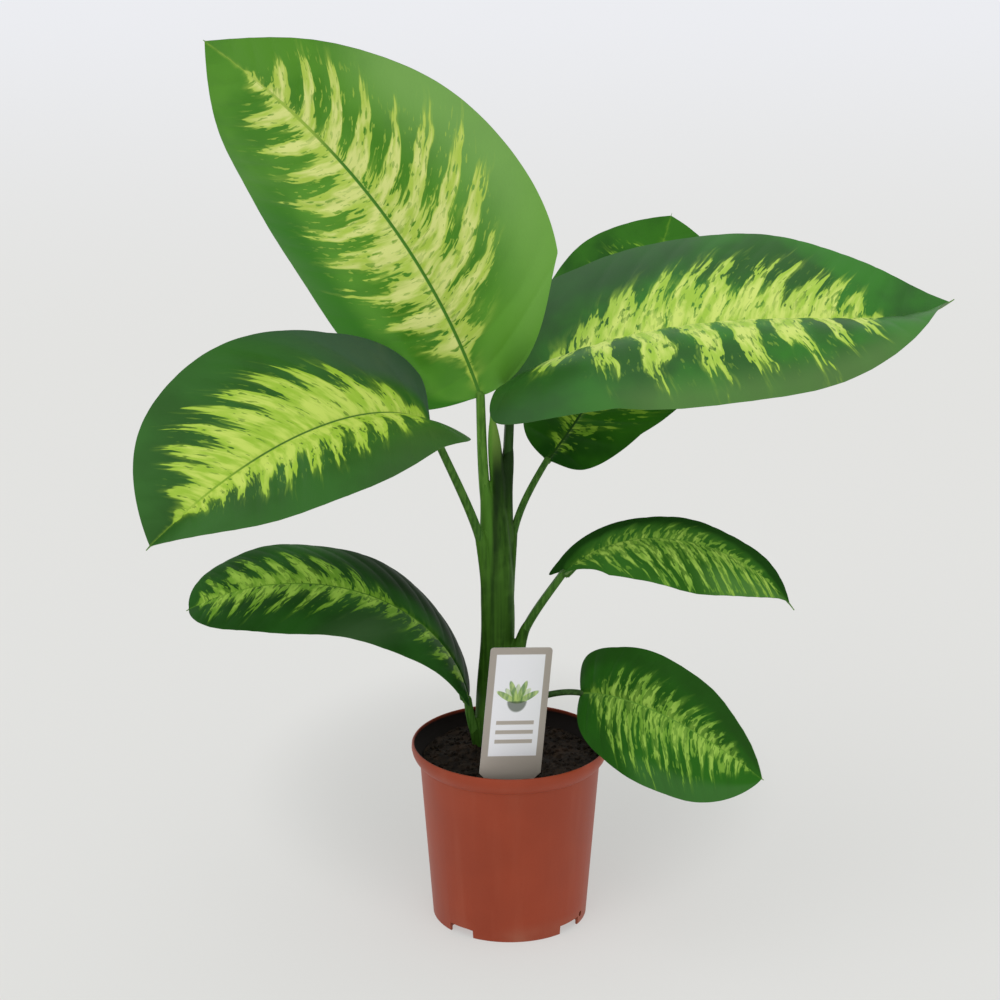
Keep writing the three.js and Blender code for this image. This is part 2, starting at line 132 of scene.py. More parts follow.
class Finish:
    """A named material: its ground colour, the constants of its surface, and the nodes added to them."""

    def __init__(self, name, ground, **constants):
        self.colour = paint(ground)
        self.material = bpy.data.materials.new(name)
        self.material.use_nodes = True
        self.tree = self.material.node_tree
        self.surface = self.tree.nodes["Principled BSDF"]
        for socket, value in constants.items():
            self.surface.inputs[socket.replace("_", " ")].default_value = value

    def node(self, kind, settings, inputs, output=0):
        """Any node, with its settings made first, then the values or links of its sockets."""
        made = self.tree.nodes.new(kind)
        for name, value in settings.items():
            setattr(made, name, value)
        for key, value in inputs.items():
            if isinstance(value, Wire):
                self.tree.links.new(value.socket, made.inputs[key])
            else:
                made.inputs[key].default_value = value
        return Wire(self, made.outputs[output])

    def ramp(self, stops, value):
        """Colours at positions along a value from 0 to 1."""
        wire = self.node("ShaderNodeValToRGB", {}, {0: value})
        elements = wire.socket.node.color_ramp.elements
        while len(elements) < len(stops):
            elements.new(0.5)
        for element, (position, colour) in zip(elements, stops):
            element.position = position
            element.color = colour
        return wire

    def blend(self, share, low, high):
        """The colour low where share is 0, and high where it is 1."""
        return self.node("ShaderNodeMix", {"data_type": "RGBA"}, {0: share, 6: low, 7: high}, 2)

    def coat(self, share, colour):
        """Lays a colour, as hexadecimal digits or a value, over the one so far, as thick as share."""
        over = paint(colour) if isinstance(colour, str) else colour
        self.colour = self.blend(share, self.colour, over)

    def place(self):
        return self.node("ShaderNodeTexCoord", {}, {}, "Object")

    def carried(self, name):
        """The three parts of a vector that the mesh carries at its points."""
        return self.parts(self.node("ShaderNodeAttribute", {"attribute_name": name}, {}, "Vector"))

    def parts(self, vector):
        return [self.node("ShaderNodeSeparateXYZ", {}, {0: vector}, axis) for axis in range(3)]

    def joined(self, x, y, z=0.0):
        return self.node("ShaderNodeCombineXYZ", {}, {0: x, 1: y, 2: z})

    def noise(self, vector, scale, detail=2.0, rough=0.5):
        inputs = {"Vector": vector, "Scale": scale, "Detail": detail, "Roughness": rough}
        return self.node("ShaderNodeTexNoise", {}, inputs)

    def streaks(self, x, y, z=0.0, detail=2.0):
        """Noise that is drawn out, by a scale of its own along each axis."""
        return self.noise(self.joined(x, y, z), 1.0, detail)

    def relief(self, height, distance, strength=1.0):
        bump = self.node("ShaderNodeBump", {}, {"Height": height, "Distance": distance, "Strength": strength})
        self.feed("Normal", bump)

    def feed(self, socket, wire):
        self.tree.links.new(wire.socket, self.surface.inputs[socket])

    def done(self):
        """The material, with its colour so far on its surface."""
        self.feed("Base Color", self.colour)
        return self.material


def paint(code):
    """A linear colour with full alpha, from six hexadecimal digits."""
    shares = [int(code[i:i + 2], 16) / 255 for i in (0, 2, 4)]
    return tuple(s / 12.92 if s <= 0.04045 else ((s + 0.055) / 1.055) ** 2.4 for s in shares) + (1.0,)


bpy.ops.mesh.primitive_plane_add(size=FLOOR_SIZE)
floor = bpy.context.object
floor.name = "floor"
floor_finish = Finish(
    "pale_floor", "9d9d9b", Roughness=1.0, Specular_IOR_Level=0.0, Emission_Strength=FLOOR_GLOW)
floor_x, floor_y, _ = floor_finish.parts(floor_finish.place())
far = floor_y.rise(*FLOOR_FADE)
floor_finish.coat(far, "a0a1a4")
glow = floor_finish.blend(far, (0.99, 0.99, 0.975, 1), (1.12, 1.13, 1.18, 1))
# Painted shadow: the floor's glow is dimmed in an oval behind the pot, where the plant's shadow falls.
across, back = floor_x - SHADE_PLACE[0], floor_y - SHADE_PLACE[1]
shade = 1 - ((across / SHADE_RADII[0]) ** 2 + (back / SHADE_RADII[1]) ** 2).rise(0.1, 1.0)
floor_finish.feed("Emission Color", floor_finish.blend(shade * SHADE_SHARE, glow, (0, 0, 0, 1)))
floor.data.materials.append(floor_finish.done())

world = bpy.data.worlds.new("sky")
bpy.context.scene.world = world
world.use_nodes = True
world.node_tree.nodes["Background"].inputs["Color"].default_value = SKY_COLOUR + (1.0,)
world.node_tree.nodes["Background"].inputs["Strength"].default_value = SKY_STRENGTH

bpy.ops.object.light_add(type="SUN", rotation=[math.radians(turn) for turn in KEY_TURN])
key_light = bpy.context.object
key_light.data.energy = KEY_STRENGTH
key_light.data.angle = math.radians(KEY_ANGLE)


# The pot is a thin-walled round nursery pot of injection-moulded terracotta plastic, with a flared band
# that stiffens its rim. It stands on a flat disc under its floor and on a foot ring with four notches,
# and water leaves by holes in the floor and the wall.

NECK_RADIUS = 0.0778
NECK_HEIGHT = 0.1435
FOOT_RADIUS = 0.067
POT_WALL = 0.0018
FLOOR_LIFT = 0.004
STAND_RADIUS = 0.038
STAND_SLOPE = 0.002
FOOT_RING = 0.0024
FOOT_CHAMFER = (0.0006, 0.0008)
POT_SIDES = 144
EDGE_ROUND = 0.0004
NOTCH_AZIMUTHS = (-129, -39, 51, 141)
NOTCH_WIDTH = 0.025
NOTCH_HEIGHT = 0.008
NOTCH_REACH = 0.012
DRAIN_HOLES = 8
DRAIN_CIRCLE = 0.050
DRAIN_RADIUS = 0.004
SIDE_HOLE_AZIMUTHS = (-25, 155)
SIDE_HOLE_RADIUS = 0.0025
SIDE_HOLE_HEIGHT = 0.009
CUTTER_LENGTH = 0.020
# The flared lip, as steps out from the neck and up from it: its outer face and its inner face.
LIP_OUTSIDE = (
    (0, 0), (0.0018, 0.0012), (0.0035, 0.0030), (0.0051, 0.0055), (0.0064, 0.0085), (0.0072, 0.0118),
    (0.0070, 0.0150), (0.0064, 0.0162), (0.0058, 0.0165))
LIP_INSIDE = (
    (0.0052, 0.0165), (0.0049, 0.0160), (0.0052, 0.0140), (0.0054, 0.0120), (0.0046, 0.0090),
    (0.0034, 0.0064), (0.0019, 0.0042), (0.0004, 0.0026))
FLARE_STEPS = 8

floor_top = FLOOR_LIFT + POT_WALL
ring_inside = FOOT_RADIUS - FOOT_RING
lip_height = LIP_OUTSIDE[-1][1]
rim_top = NECK_HEIGHT + lip_height


def inner_radius(z):
    return FOOT_RADIUS + (NECK_RADIUS - FOOT_RADIUS) * z / NECK_HEIGHT - POT_WALL


def on_circle(radius, turn, height=0):
    """A place on a circle round the pot's axis, at an angle in radians."""
    return radius * math.cos(turn), radius * math.sin(turn), height


def face_outward():
    """Turns every face of the mesh in edit mode outward, and leaves edit mode."""
    bpy.ops.mesh.select_all(action="SELECT")
    bpy.ops.mesh.normals_make_consistent(inside=False)
    bpy.ops.object.mode_set(mode="OBJECT")


pot_stations = [
    (STAND_RADIUS + STAND_SLOPE, FLOOR_LIFT), (ring_inside, FLOOR_LIFT), (ring_inside, 0),
    (FOOT_RADIUS - FOOT_CHAMFER[0], 0), (FOOT_RADIUS, FOOT_CHAMFER[1]),
]
pot_stations += [(NECK_RADIUS + out, NECK_HEIGHT + up) for out, up in LIP_OUTSIDE + LIP_INSIDE]
pot_stations += [
    (inner_radius(NECK_HEIGHT), NECK_HEIGHT + 0.0008), (inner_radius(floor_top), floor_top),
    (STAND_RADIUS + STAND_SLOPE / 2, floor_top), (STAND_RADIUS - STAND_SLOPE / 2, POT_WALL),
]

bpy.ops.object.select_all(action="DESELECT")
bpy.ops.mesh.primitive_circle_add(vertices=POT_SIDES, radius=STAND_RADIUS, fill_type="NGON")
pot = bpy.context.object
pot.name = "nursery_pot"
bpy.ops.object.mode_set(mode="EDIT")
bpy.ops.mesh.select_all(action="SELECT")
radius, height = STAND_RADIUS, 0
for next_radius, next_height in pot_stations:
    bpy.ops.mesh.extrude_region_move(TRANSFORM_OT_translate={"value": (0, 0, next_height - height)})
    widen = next_radius / radius
    bpy.ops.transform.resize(value=(widen, widen, 1), center_override=(0, 0, next_height))
    radius, height = next_radius, next_height
face_outward()


def pick(pieces):
    """Selects pieces and nothing else, with the first of them active."""
    bpy.ops.object.select_all(action="DESELECT")
    for piece in pieces:
        piece.select_set(True)
    bpy.context.view_layer.objects.active = pieces[0]


def apply_modifier(piece, kind, **settings):
    """Adds one modifier to a piece with its settings and applies it."""
    modifier = piece.modifiers.new(kind.lower(), kind)
    for name, value in settings.items():
        setattr(modifier, name, value)
    bpy.context.view_layer.objects.active = piece
    bpy.ops.object.modifier_apply(modifier=modifier.name)


def join(pieces):
    """Joins pieces into the first of them."""
    pick(pieces)
    bpy.ops.object.join()
    return pieces[0]


def settle(piece):
    """Moves a piece's place and turn into its mesh."""
    pick([piece])
    bpy.ops.object.transform_apply(location=True, rotation=True, scale=True)


def smooth(piece, angle):
    """Shades a piece smooth, apart from edges sharper than an angle in degrees."""
    pick([piece])
    bpy.ops.object.shade_smooth_by_angle(angle=math.radians(angle))


apply_modifier(pot, "BEVEL", width=EDGE_ROUND, segments=3, limit_method="ANGLE", angle_limit=math.radians(28))

cutters = []
for azimuth in NOTCH_AZIMUTHS:
    turn = math.radians(azimuth)
    bpy.ops.mesh.primitive_cube_add(size=1, location=on_circle(FOOT_RADIUS, turn), rotation=(0, 0, turn))
    bpy.context.object.scale = (NOTCH_REACH, NOTCH_WIDTH, 2 * NOTCH_HEIGHT)
    cutters.append(bpy.context.object)
for i in range(DRAIN_HOLES):
    turn = 2 * math.pi * (i + 0.5) / DRAIN_HOLES
    place = on_circle(DRAIN_CIRCLE, turn)
    bpy.ops.mesh.primitive_cylinder_add(vertices=32, radius=DRAIN_RADIUS, depth=CUTTER_LENGTH, location=place)
    cutters.append(bpy.context.object)
for azimuth in SIDE_HOLE_AZIMUTHS:
    turn = math.radians(azimuth)
    place = on_circle(FOOT_RADIUS, turn, SIDE_HOLE_HEIGHT)
    bpy.ops.mesh.primitive_cylinder_add(
        vertices=24, radius=SIDE_HOLE_RADIUS, depth=CUTTER_LENGTH, location=place,
        rotation=(0, math.pi / 2, turn))
    cutters.append(bpy.context.object)
cutter = join(cutters)
settle(cutter)
apply_modifier(pot, "BOOLEAN", object=cutter, operation="DIFFERENCE", solver="EXACT")
bpy.data.objects.remove(cutter)
smooth(pot, 32)

pot_finish = Finish("terracotta_plastic", "943a1e", Specular_IOR_Level=0.3)
pot_place = pot_finish.place()
pot_x, pot_y, pot_z = pot_finish.parts(pot_place)
cloud = pot_finish.noise(pot_place, 14, detail=3)
streak = pot_finish.streaks(pot_x * 60, pot_y * 60, pot_z * 5, 3)
speckle = pot_finish.noise(pot_place, 900, detail=2)
dust = (1 - pot_z.rise(0.0, 0.02)) * cloud.rise(0.4, 0.65) * 0.5
pot_finish.coat(cloud.rise(0.3, 0.7), "9d3f22")
pot_finish.coat(streak.rise(0.45, 0.8) * 0.35, "a5533a")
pot_finish.coat(speckle.rise(0.6, 0.75) * 0.3, "7a2f1c")
pot_finish.coat(dust, "a06650")


def lip_at(face, up):
    """How far one face of the lip stands out from the neck, at a height above it."""
    outs, ups = zip(*face)
    return np.interp(up, ups, outs)


# The wall's inner face is darkened: partly a soil stain, partly painted shade inside the pot. The wall's
# middle parts it from the clean outside at each height, and a colour ramp in hundredths of a metre gives
# how far the flared lip leads that middle out.
slant = (NECK_RADIUS - FOOT_RADIUS) / NECK_HEIGHT
middle = inner_radius(0) + POT_WALL / 2 + pot_z * slant
flare_stops = []
for step in range(FLARE_STEPS + 1):
    up = lip_height * step / FLARE_STEPS
    out = (lip_at(LIP_OUTSIDE, up) + lip_at(LIP_INSIDE[::-1], up)) / 2
    flare_stops.append((step / FLARE_STEPS, (100 * out, 0, 0, 1)))
flare = pot_finish.parts(pot_finish.ramp(flare_stops, (pot_z - NECK_HEIGHT) / lip_height))[0] / 100
depth_inside = middle + flare - (pot_x ** 2 + pot_y ** 2) ** 0.5
# Soil stain and painted shade: the inner face of the wall is darkened from just above the pot's floor up to
# the rim, less at the very top.
stain_and_shade = depth_inside.past(0, 0.0003) * pot_z.rise(0.007, 0.012)
stain_and_shade = stain_and_shade * (1 - pot_z.rise(rim_top - 0.004, rim_top - 0.0005, 0, 0.75))
pot_finish.coat(stain_and_shade, "100604")
pot_finish.feed("Roughness", 0.4 + 0.14 * cloud + 0.1 * dust + 0.4 * stain_and_shade)
pot_finish.relief(0.6 * speckle + 0.4 * streak, 0.00025, 0.35)
pot.data.materials.append(pot_finish.done())
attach(pot, "root")
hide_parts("pot")


# The soil is dark moist peat, filled nearly to the rim and heaped a little round the stem. Loose crumbs
# of it lie on top, and pale fibres show in it.

SOIL_LEVEL = 0.147
SOIL_DEPTH = 0.020
SOIL_CLEAR = 0.0008
SOIL_SIDES = 120
SOIL_RINGS = 34
MOUND_HEIGHT = 0.005
MOUND_SPREAD = 0.024
SWELL = 0.001
EDGE_START = 0.068
EDGE_WIDTH = 0.012
EDGE_DROP = 0.003
STEM_FOOT = (-0.018, 0.022)
CRUMBS = 950
CRUMB_SIZES = (0.0007, 0.0034)
CRUMB_KINDS = 4
CRUMB_SEED = 7
# The reach of a crumb's points, its width and its height as shares of a ball's, its tilt in radians, and how
# high its middle lies as a share of its size.
CRUMB_POINTS = (0.72, 1.15)
CRUMB_WIDTHS = (0.6, 0.95)
CRUMB_HEIGHTS = (0.45, 0.8)
CRUMB_TILT = 0.5
CRUMB_LIFT = 0.2


def soil_height(x, y):
    """The soil's upper surface: a mound round the stem, low uneven swells, and a fall to the pot's wall."""
    from_stem = ((x - STEM_FOOT[0]) ** 2 + (y - STEM_FOOT[1]) ** 2) / (2 * MOUND_SPREAD ** 2)
    swell = np.sin(x / 0.009 + 1) * np.cos(y / 0.011) + 0.6 * np.sin((x + y) / 0.006)
    fine = 0.5 * np.sin(x / 0.0031 + 2 * np.sin(y / 0.006)) * np.sin(y / 0.0027 + 1.3 * np.sin(x / 0.005))
    edge = np.clip((np.hypot(x, y) - EDGE_START) / EDGE_WIDTH, 0, 1)
    return SOIL_LEVEL + MOUND_HEIGHT * np.exp(-from_stem) + SWELL * (swell + fine) - EDGE_DROP * edge ** 2


def points_of(piece):
    """A piece's points as rows of x, y, z."""
    places = np.empty(3 * len(piece.data.vertices))
    piece.data.vertices.foreach_get("co", places)
    return places.reshape(-1, 3)


def move_points(piece, places):
    piece.data.vertices.foreach_set("co", places.ravel())
    piece.data.update()


soil_edge = inner_radius(NECK_HEIGHT) - SOIL_CLEAR
bpy.ops.object.select_all(action="DESELECT")
bpy.ops.mesh.primitive_circle_add(
    vertices=SOIL_SIDES, radius=soil_edge, fill_type="NGON", location=(0, 0, SOIL_LEVEL - SOIL_DEPTH))
soil = bpy.context.object
soil.name = "potting_soil"
settle(soil)
bpy.ops.object.mode_set(mode="EDIT")
bpy.ops.mesh.select_all(action="SELECT")
bpy.ops.mesh.extrude_region_move(TRANSFORM_OT_translate={"value": (0, 0, SOIL_DEPTH)})
for ring in range(SOIL_RINGS - 1):
    bpy.ops.mesh.inset(thickness=soil_edge / SOIL_RINGS, use_boundary=True)
bpy.ops.mesh.poke()
face_outward()
places = points_of(soil)
upper = places[:, 2] > SOIL_LEVEL - 0.001
places[upper, 2] = soil_height(places[upper, 0], places[upper, 1])
move_points(soil, places)

crumb_random = random.Random(CRUMB_SEED)
kinds = []
for kind in range(CRUMB_KINDS):
    bpy.ops.mesh.primitive_ico_sphere_add(subdivisions=2 if kind == 0 else 1, radius=1)
    crumb = bpy.context.object
    places = points_of(crumb)
    for point in places:
        point *= crumb_random.uniform(*CRUMB_POINTS)
    squeeze = (1, crumb_random.uniform(*CRUMB_WIDTHS), crumb_random.uniform(*CRUMB_HEIGHTS))
    move_points(crumb, places * squeeze)
    kinds.append(crumb)
crumbs = []
for i in range(CRUMBS):
    size = CRUMB_SIZES[0] + (CRUMB_SIZES[1] - CRUMB_SIZES[0]) * crumb_random.random() ** 3
    reach = (soil_edge - 1.4 * size) * math.sqrt(crumb_random.random())
    turn = crumb_random.uniform(0, 2 * math.pi)
    x, y, _ = on_circle(reach, turn)
    source = kinds[crumb_random.randrange(CRUMB_KINDS)]
    crumb = bpy.data.objects.new("crumb", source.data.copy())
    bpy.context.collection.objects.link(crumb)
    crumb.location = (x, y, float(soil_height(x, y)) + CRUMB_LIFT * size)
    tilts = [crumb_random.uniform(-CRUMB_TILT, CRUMB_TILT) for axis in range(2)]
    crumb.rotation_euler = (*tilts, turn * 3)
    crumb.scale = (size, size, size)
    crumbs.append(crumb)
for source in kinds:
    bpy.data.objects.remove(source)
soil = join([soil] + crumbs)

soil_finish = Finish("moist_peat", "110c09", Roughness=0.95, Specular_IOR_Level=0.2)
soil_place = soil_finish.place()
grain = soil_finish.noise(soil_place, 260, detail=4, rough=0.65)
patch = soil_finish.noise(soil_place, 60, detail=2)
fibre = soil_finish.noise(soil_place, 1400, detail=1)
soil_finish.coat(grain.rise(0.35, 0.7), "30251c")
soil_finish.coat(patch.rise(0.5, 0.75) * 0.5, "3c2a1c")
soil_finish.coat(fibre.rise(0.72, 0.8) * 0.6, "6d5a48")
soil_finish.relief(0.7 * grain + 0.3 * fibre, 0.0012, 0.9)
soil.data.materials.append(soil_finish.done())
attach(soil, "root")
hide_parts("soil")


# The stem is a thick green cane, wrapped by the sheathing bases of its leaf stalks. All grew as one
# column: each sheath parts from it at its own height, where the stalk stands free, and the youngest
# leaf's ends in a pale free tip.

# Stations of x, y, z and radius, from the foot up.
CANE = (
    (-0.018, 0.022, 0.112, 0.0132), (-0.0155, 0.020, 0.190, 0.0140), (-0.0105, 0.018, 0.250, 0.0146),
    (-0.011, 0.018, 0.300, 0.0140), (-0.011, 0.019, 0.345, 0.0105), (-0.011, 0.0205, 0.370, 0.0068),
    (-0.0112, 0.0212, 0.388, 0.0035),
)
SHEATHS = (
    ((-0.0135, 0.017, 0.262, 0.0090), (-0.018, 0.0145, 0.330, 0.0078), (-0.0195, 0.015, 0.366, 0.0058),
     (-0.0221, 0.0174, 0.392, 0.0038)),
    ((-0.009, 0.018, 0.262, 0.0100), (-0.006, 0.024, 0.330, 0.0090), (-0.0045, 0.027, 0.376, 0.0070),
     (-0.002, 0.028, 0.406, 0.0054), (-0.0014, 0.0293, 0.424, 0.0036)),
    ((-0.005, 0.018, 0.236, 0.0080), (-0.0015, 0.021, 0.290, 0.0055), (0.0015, 0.025, 0.326, 0.0044),
     (0.0043, 0.0293, 0.345, 0.0027)),
    ((-0.016, 0.015, 0.236, 0.0085), (-0.0195, 0.011, 0.296, 0.0055), (-0.024, 0.007, 0.338, 0.0051),
     (-0.0288, 0.0023, 0.356, 0.0034)),
    ((-0.014, 0.019, 0.112, 0.0085), (-0.022, 0.0165, 0.136, 0.0074), (-0.028, 0.014, 0.157, 0.0058),
     (-0.0333, 0.0109, 0.1765, 0.0037)),
    ((-0.005, 0.017, 0.178, 0.0088), (0.004, 0.013, 0.222, 0.0068), (0.011, 0.010, 0.254, 0.0048),
     (0.0190, 0.0067, 0.272, 0.0030)),
    ((-0.013, 0.018, 0.138, 0.0070), (-0.004, 0.016, 0.166, 0.0055), (0.007, 0.013, 0.186, 0.0040),
     (0.0170, 0.0101, 0.193, 0.0024)),
)
SHEATH_TIP = (
    (-0.009, 0.022, 0.366, 0.0065), (-0.013, 0.020, 0.420, 0.0058), (-0.0155, 0.018, 0.4525, 0.0014))
STEM_RINGS = 40
STEM_SIDES = 24
STEM_VOXEL = 0.0010
STEM_SMOOTHING = 9
MERGE_DISTANCE = 2e-6
# A stalk's groove and the ridges beside it, as turns round it in radians.
GROOVE_WIDTH = 0.5
RIDGE_TURN = 0.75
RIDGE_WIDTH = 0.22
# Where its tones change: across it, as a place in x, and up it, between two heights. The crease and the
# shaded band are painted shade: a dark line in the crease between two sheaths, and the sheaths high on the
# stem that lie in shade.
CREASE_SHADE_X, CREASE_SHADE_RISE = -0.0125, (0.27, 0.35)
SHADED_X, SHADED_RISE = -0.0135, (0.335, 0.40)
YOUNG_X, YOUNG_RISE = -0.0075, (0.395, 0.44)
FRESH_X, FRESH_RISE = -0.0150, (0.285, 0.38)


def through(stations, rings):
    """Rows of x, y, z and radius along a smooth curve through stations of the same."""
    knots = np.array(stations)
    padded = np.vstack([2 * knots[0] - knots[1], knots, 2 * knots[-1] - knots[-2]])
    # The last row stops a hair short of the last station, and so belongs to the last stretch.
    share = np.linspace(0, len(knots) - 1.0001, rings)
    i = share.astype(int)
    s = (share - i)[:, None]
    a, b, c, d = padded[i], padded[i + 1], padded[i + 2], padded[i + 3]
    return (2 * b + (c - a) * s + (2 * a - 5 * b + 4 * c - d) * s ** 2 + (3 * b - a - 3 * c + d) * s ** 3) / 2


def grid(name, rows, columns):
    """A flat grid 1 m along and across, and its points."""
    bpy.ops.object.select_all(action="DESELECT")
    bpy.ops.mesh.primitive_grid_add(x_subdivisions=rows, y_subdivisions=columns, size=1)
    piece = bpy.context.object
    piece.name = name
    return piece, points_of(piece)


def tube(name, centres, radii, facing, sides, groove, ridge):
    """A closed tube with a groove along the side that faces facing, and a ridge on each side of it."""
    piece, flat = grid(name, len(centres) - 1, sides)
    ring = np.rint((flat[:, 0] + 0.5) * (len(centres) - 1)).astype(int)
    turn = 2 * np.pi * flat[:, 1]
    along = np.gradient(centres, axis=0)
    along /= np.linalg.norm(along, axis=1)[:, None]
    front = facing - along * np.sum(facing * along, axis=1)[:, None]
    front /= np.linalg.norm(front, axis=1)[:, None]
    across = np.cross(along, front)
    dip = groove[ring] * np.exp(-(turn / GROOVE_WIDTH) ** 2)
    lip = ridge[ring] * np.exp(-((np.abs(turn) - RIDGE_TURN) / RIDGE_WIDTH) ** 2)
    reach = radii[ring] * (1 - dip + lip)
    reach[(ring == 0) | (ring == len(centres) - 1)] = 0
    outward = front[ring] * np.cos(turn)[:, None] + across[ring] * np.sin(turn)[:, None]
    places = centres[ring] + outward * reach[:, None]
    move_points(piece, places)
    bpy.ops.object.mode_set(mode="EDIT")
    bpy.ops.mesh.select_all(action="SELECT")
    bpy.ops.mesh.remove_doubles(threshold=MERGE_DISTANCE)
    face_outward()
    return piece


facing = np.tile((0.0, -1.0, 0.0), (STEM_RINGS, 1))
flat_side = np.zeros(STEM_RINGS)
tubes = []
for stations in (CANE, SHEATH_TIP) + SHEATHS:
    path = through(stations, STEM_RINGS)
    tubes.append(tube("sheath", path[:, :3], path[:, 3], facing, STEM_SIDES, flat_side, flat_side))
stem = join(tubes)
stem.name = "sheathed_stem"
apply_modifier(stem, "REMESH", mode="VOXEL", voxel_size=STEM_VOXEL)
apply_modifier(stem, "SMOOTH", factor=0.5, iterations=STEM_SMOOTHING)
smooth(stem, 60)

stem_finish = Finish("sheathed_cane", "25470f", Specular_IOR_Level=0.12)
stem_place = stem_finish.place()
stem_x, stem_y, stem_z = stem_finish.parts(stem_place)
stripe = stem_finish.streaks(stem_x * 330, stem_y * 330, stem_z * 9, 3)
ringed = stem_finish.streaks(stem_x * 25, stem_y * 25, stem_z * 60)
mottle = stem_finish.noise(stem_place, 70, detail=2)
stem_finish.coat(stripe.rise(0.3, 0.7), "3d661c")
stem_finish.coat(mottle.rise(0.4, 0.75) * 0.5, "507c2b")
stem_finish.coat(ringed.rise(0.6, 0.75) * 0.3, "1a380e")
# Painted shade: a dark line in the crease between two sheaths.
crease_shade = (1 - abs(stem_x - CREASE_SHADE_X).rise(0.001, 0.0045)) * stem_z.rise(*CREASE_SHADE_RISE)
stem_finish.coat(crease_shade * 0.6, "15290c")
# Painted shade: the sheaths high on the stem, under the top leaves, are darkened where they lie in shade.
shaded = stem_z.rise(*SHADED_RISE) * stem_x.past(SHADED_X, 0.0015)
stem_finish.coat(shaded * 0.85, "122a08")
young = stem_z.rise(*YOUNG_RISE) * (1 - stem_x.past(YOUNG_X, 0.001))
stem_finish.coat(young * 0.9, "7ca446")
fresh = stem_z.rise(*FRESH_RISE) * (1 - stem_x.past(FRESH_X, 0.0015))
stem_finish.coat(fresh * (0.5 + 0.5 * stripe), "568a2c")
stem_finish.feed("Roughness", 0.5 + 0.15 * mottle)
stem_finish.relief(0.8 * stripe + 0.2 * ringed, 0.0004, 0.6)
stem.data.materials.clear()
stem.data.materials.append(stem_finish.done())
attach(stem, "root")
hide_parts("stem")


# The leaves are long green blades splashed with cream and yellow along their side veins, each on a round
# grooved stalk. They grow in turn round the stem: the youngest stands up at the top, and the oldest hang
# low and are dark.

VEIN_SWEEP = 0.14
SWEEP_POWER = 1.6
FLICK_POWER = 8
LOBE_END = 0.16
MIDRIB_STEPS = 40
BLADE_ROWS = 220
BLADE_COLUMNS = 84
BLADE_THICKNESS = 0.0009
MARGIN_SHARE = 0.5
MARGIN_WIDTH = 0.25
RIB_DEPTH = 0.0032
RIB_HALF_WIDTH = 0.0022
GROOVE_DEPTH = 0.0011
QUILT_DEPTH = 0.0011
STALK_SIDES = 28
STALK_RINGS = 60
RIB_RINGS = 14
RIB_RUN = (0.01, 0.2)
TIP_WIDTH = 0.05
TIP_START = 0.07
COLUMN_POWER = 1.3
QUILT_REACH = 0.02
VEIN_STAGGER = 0.8
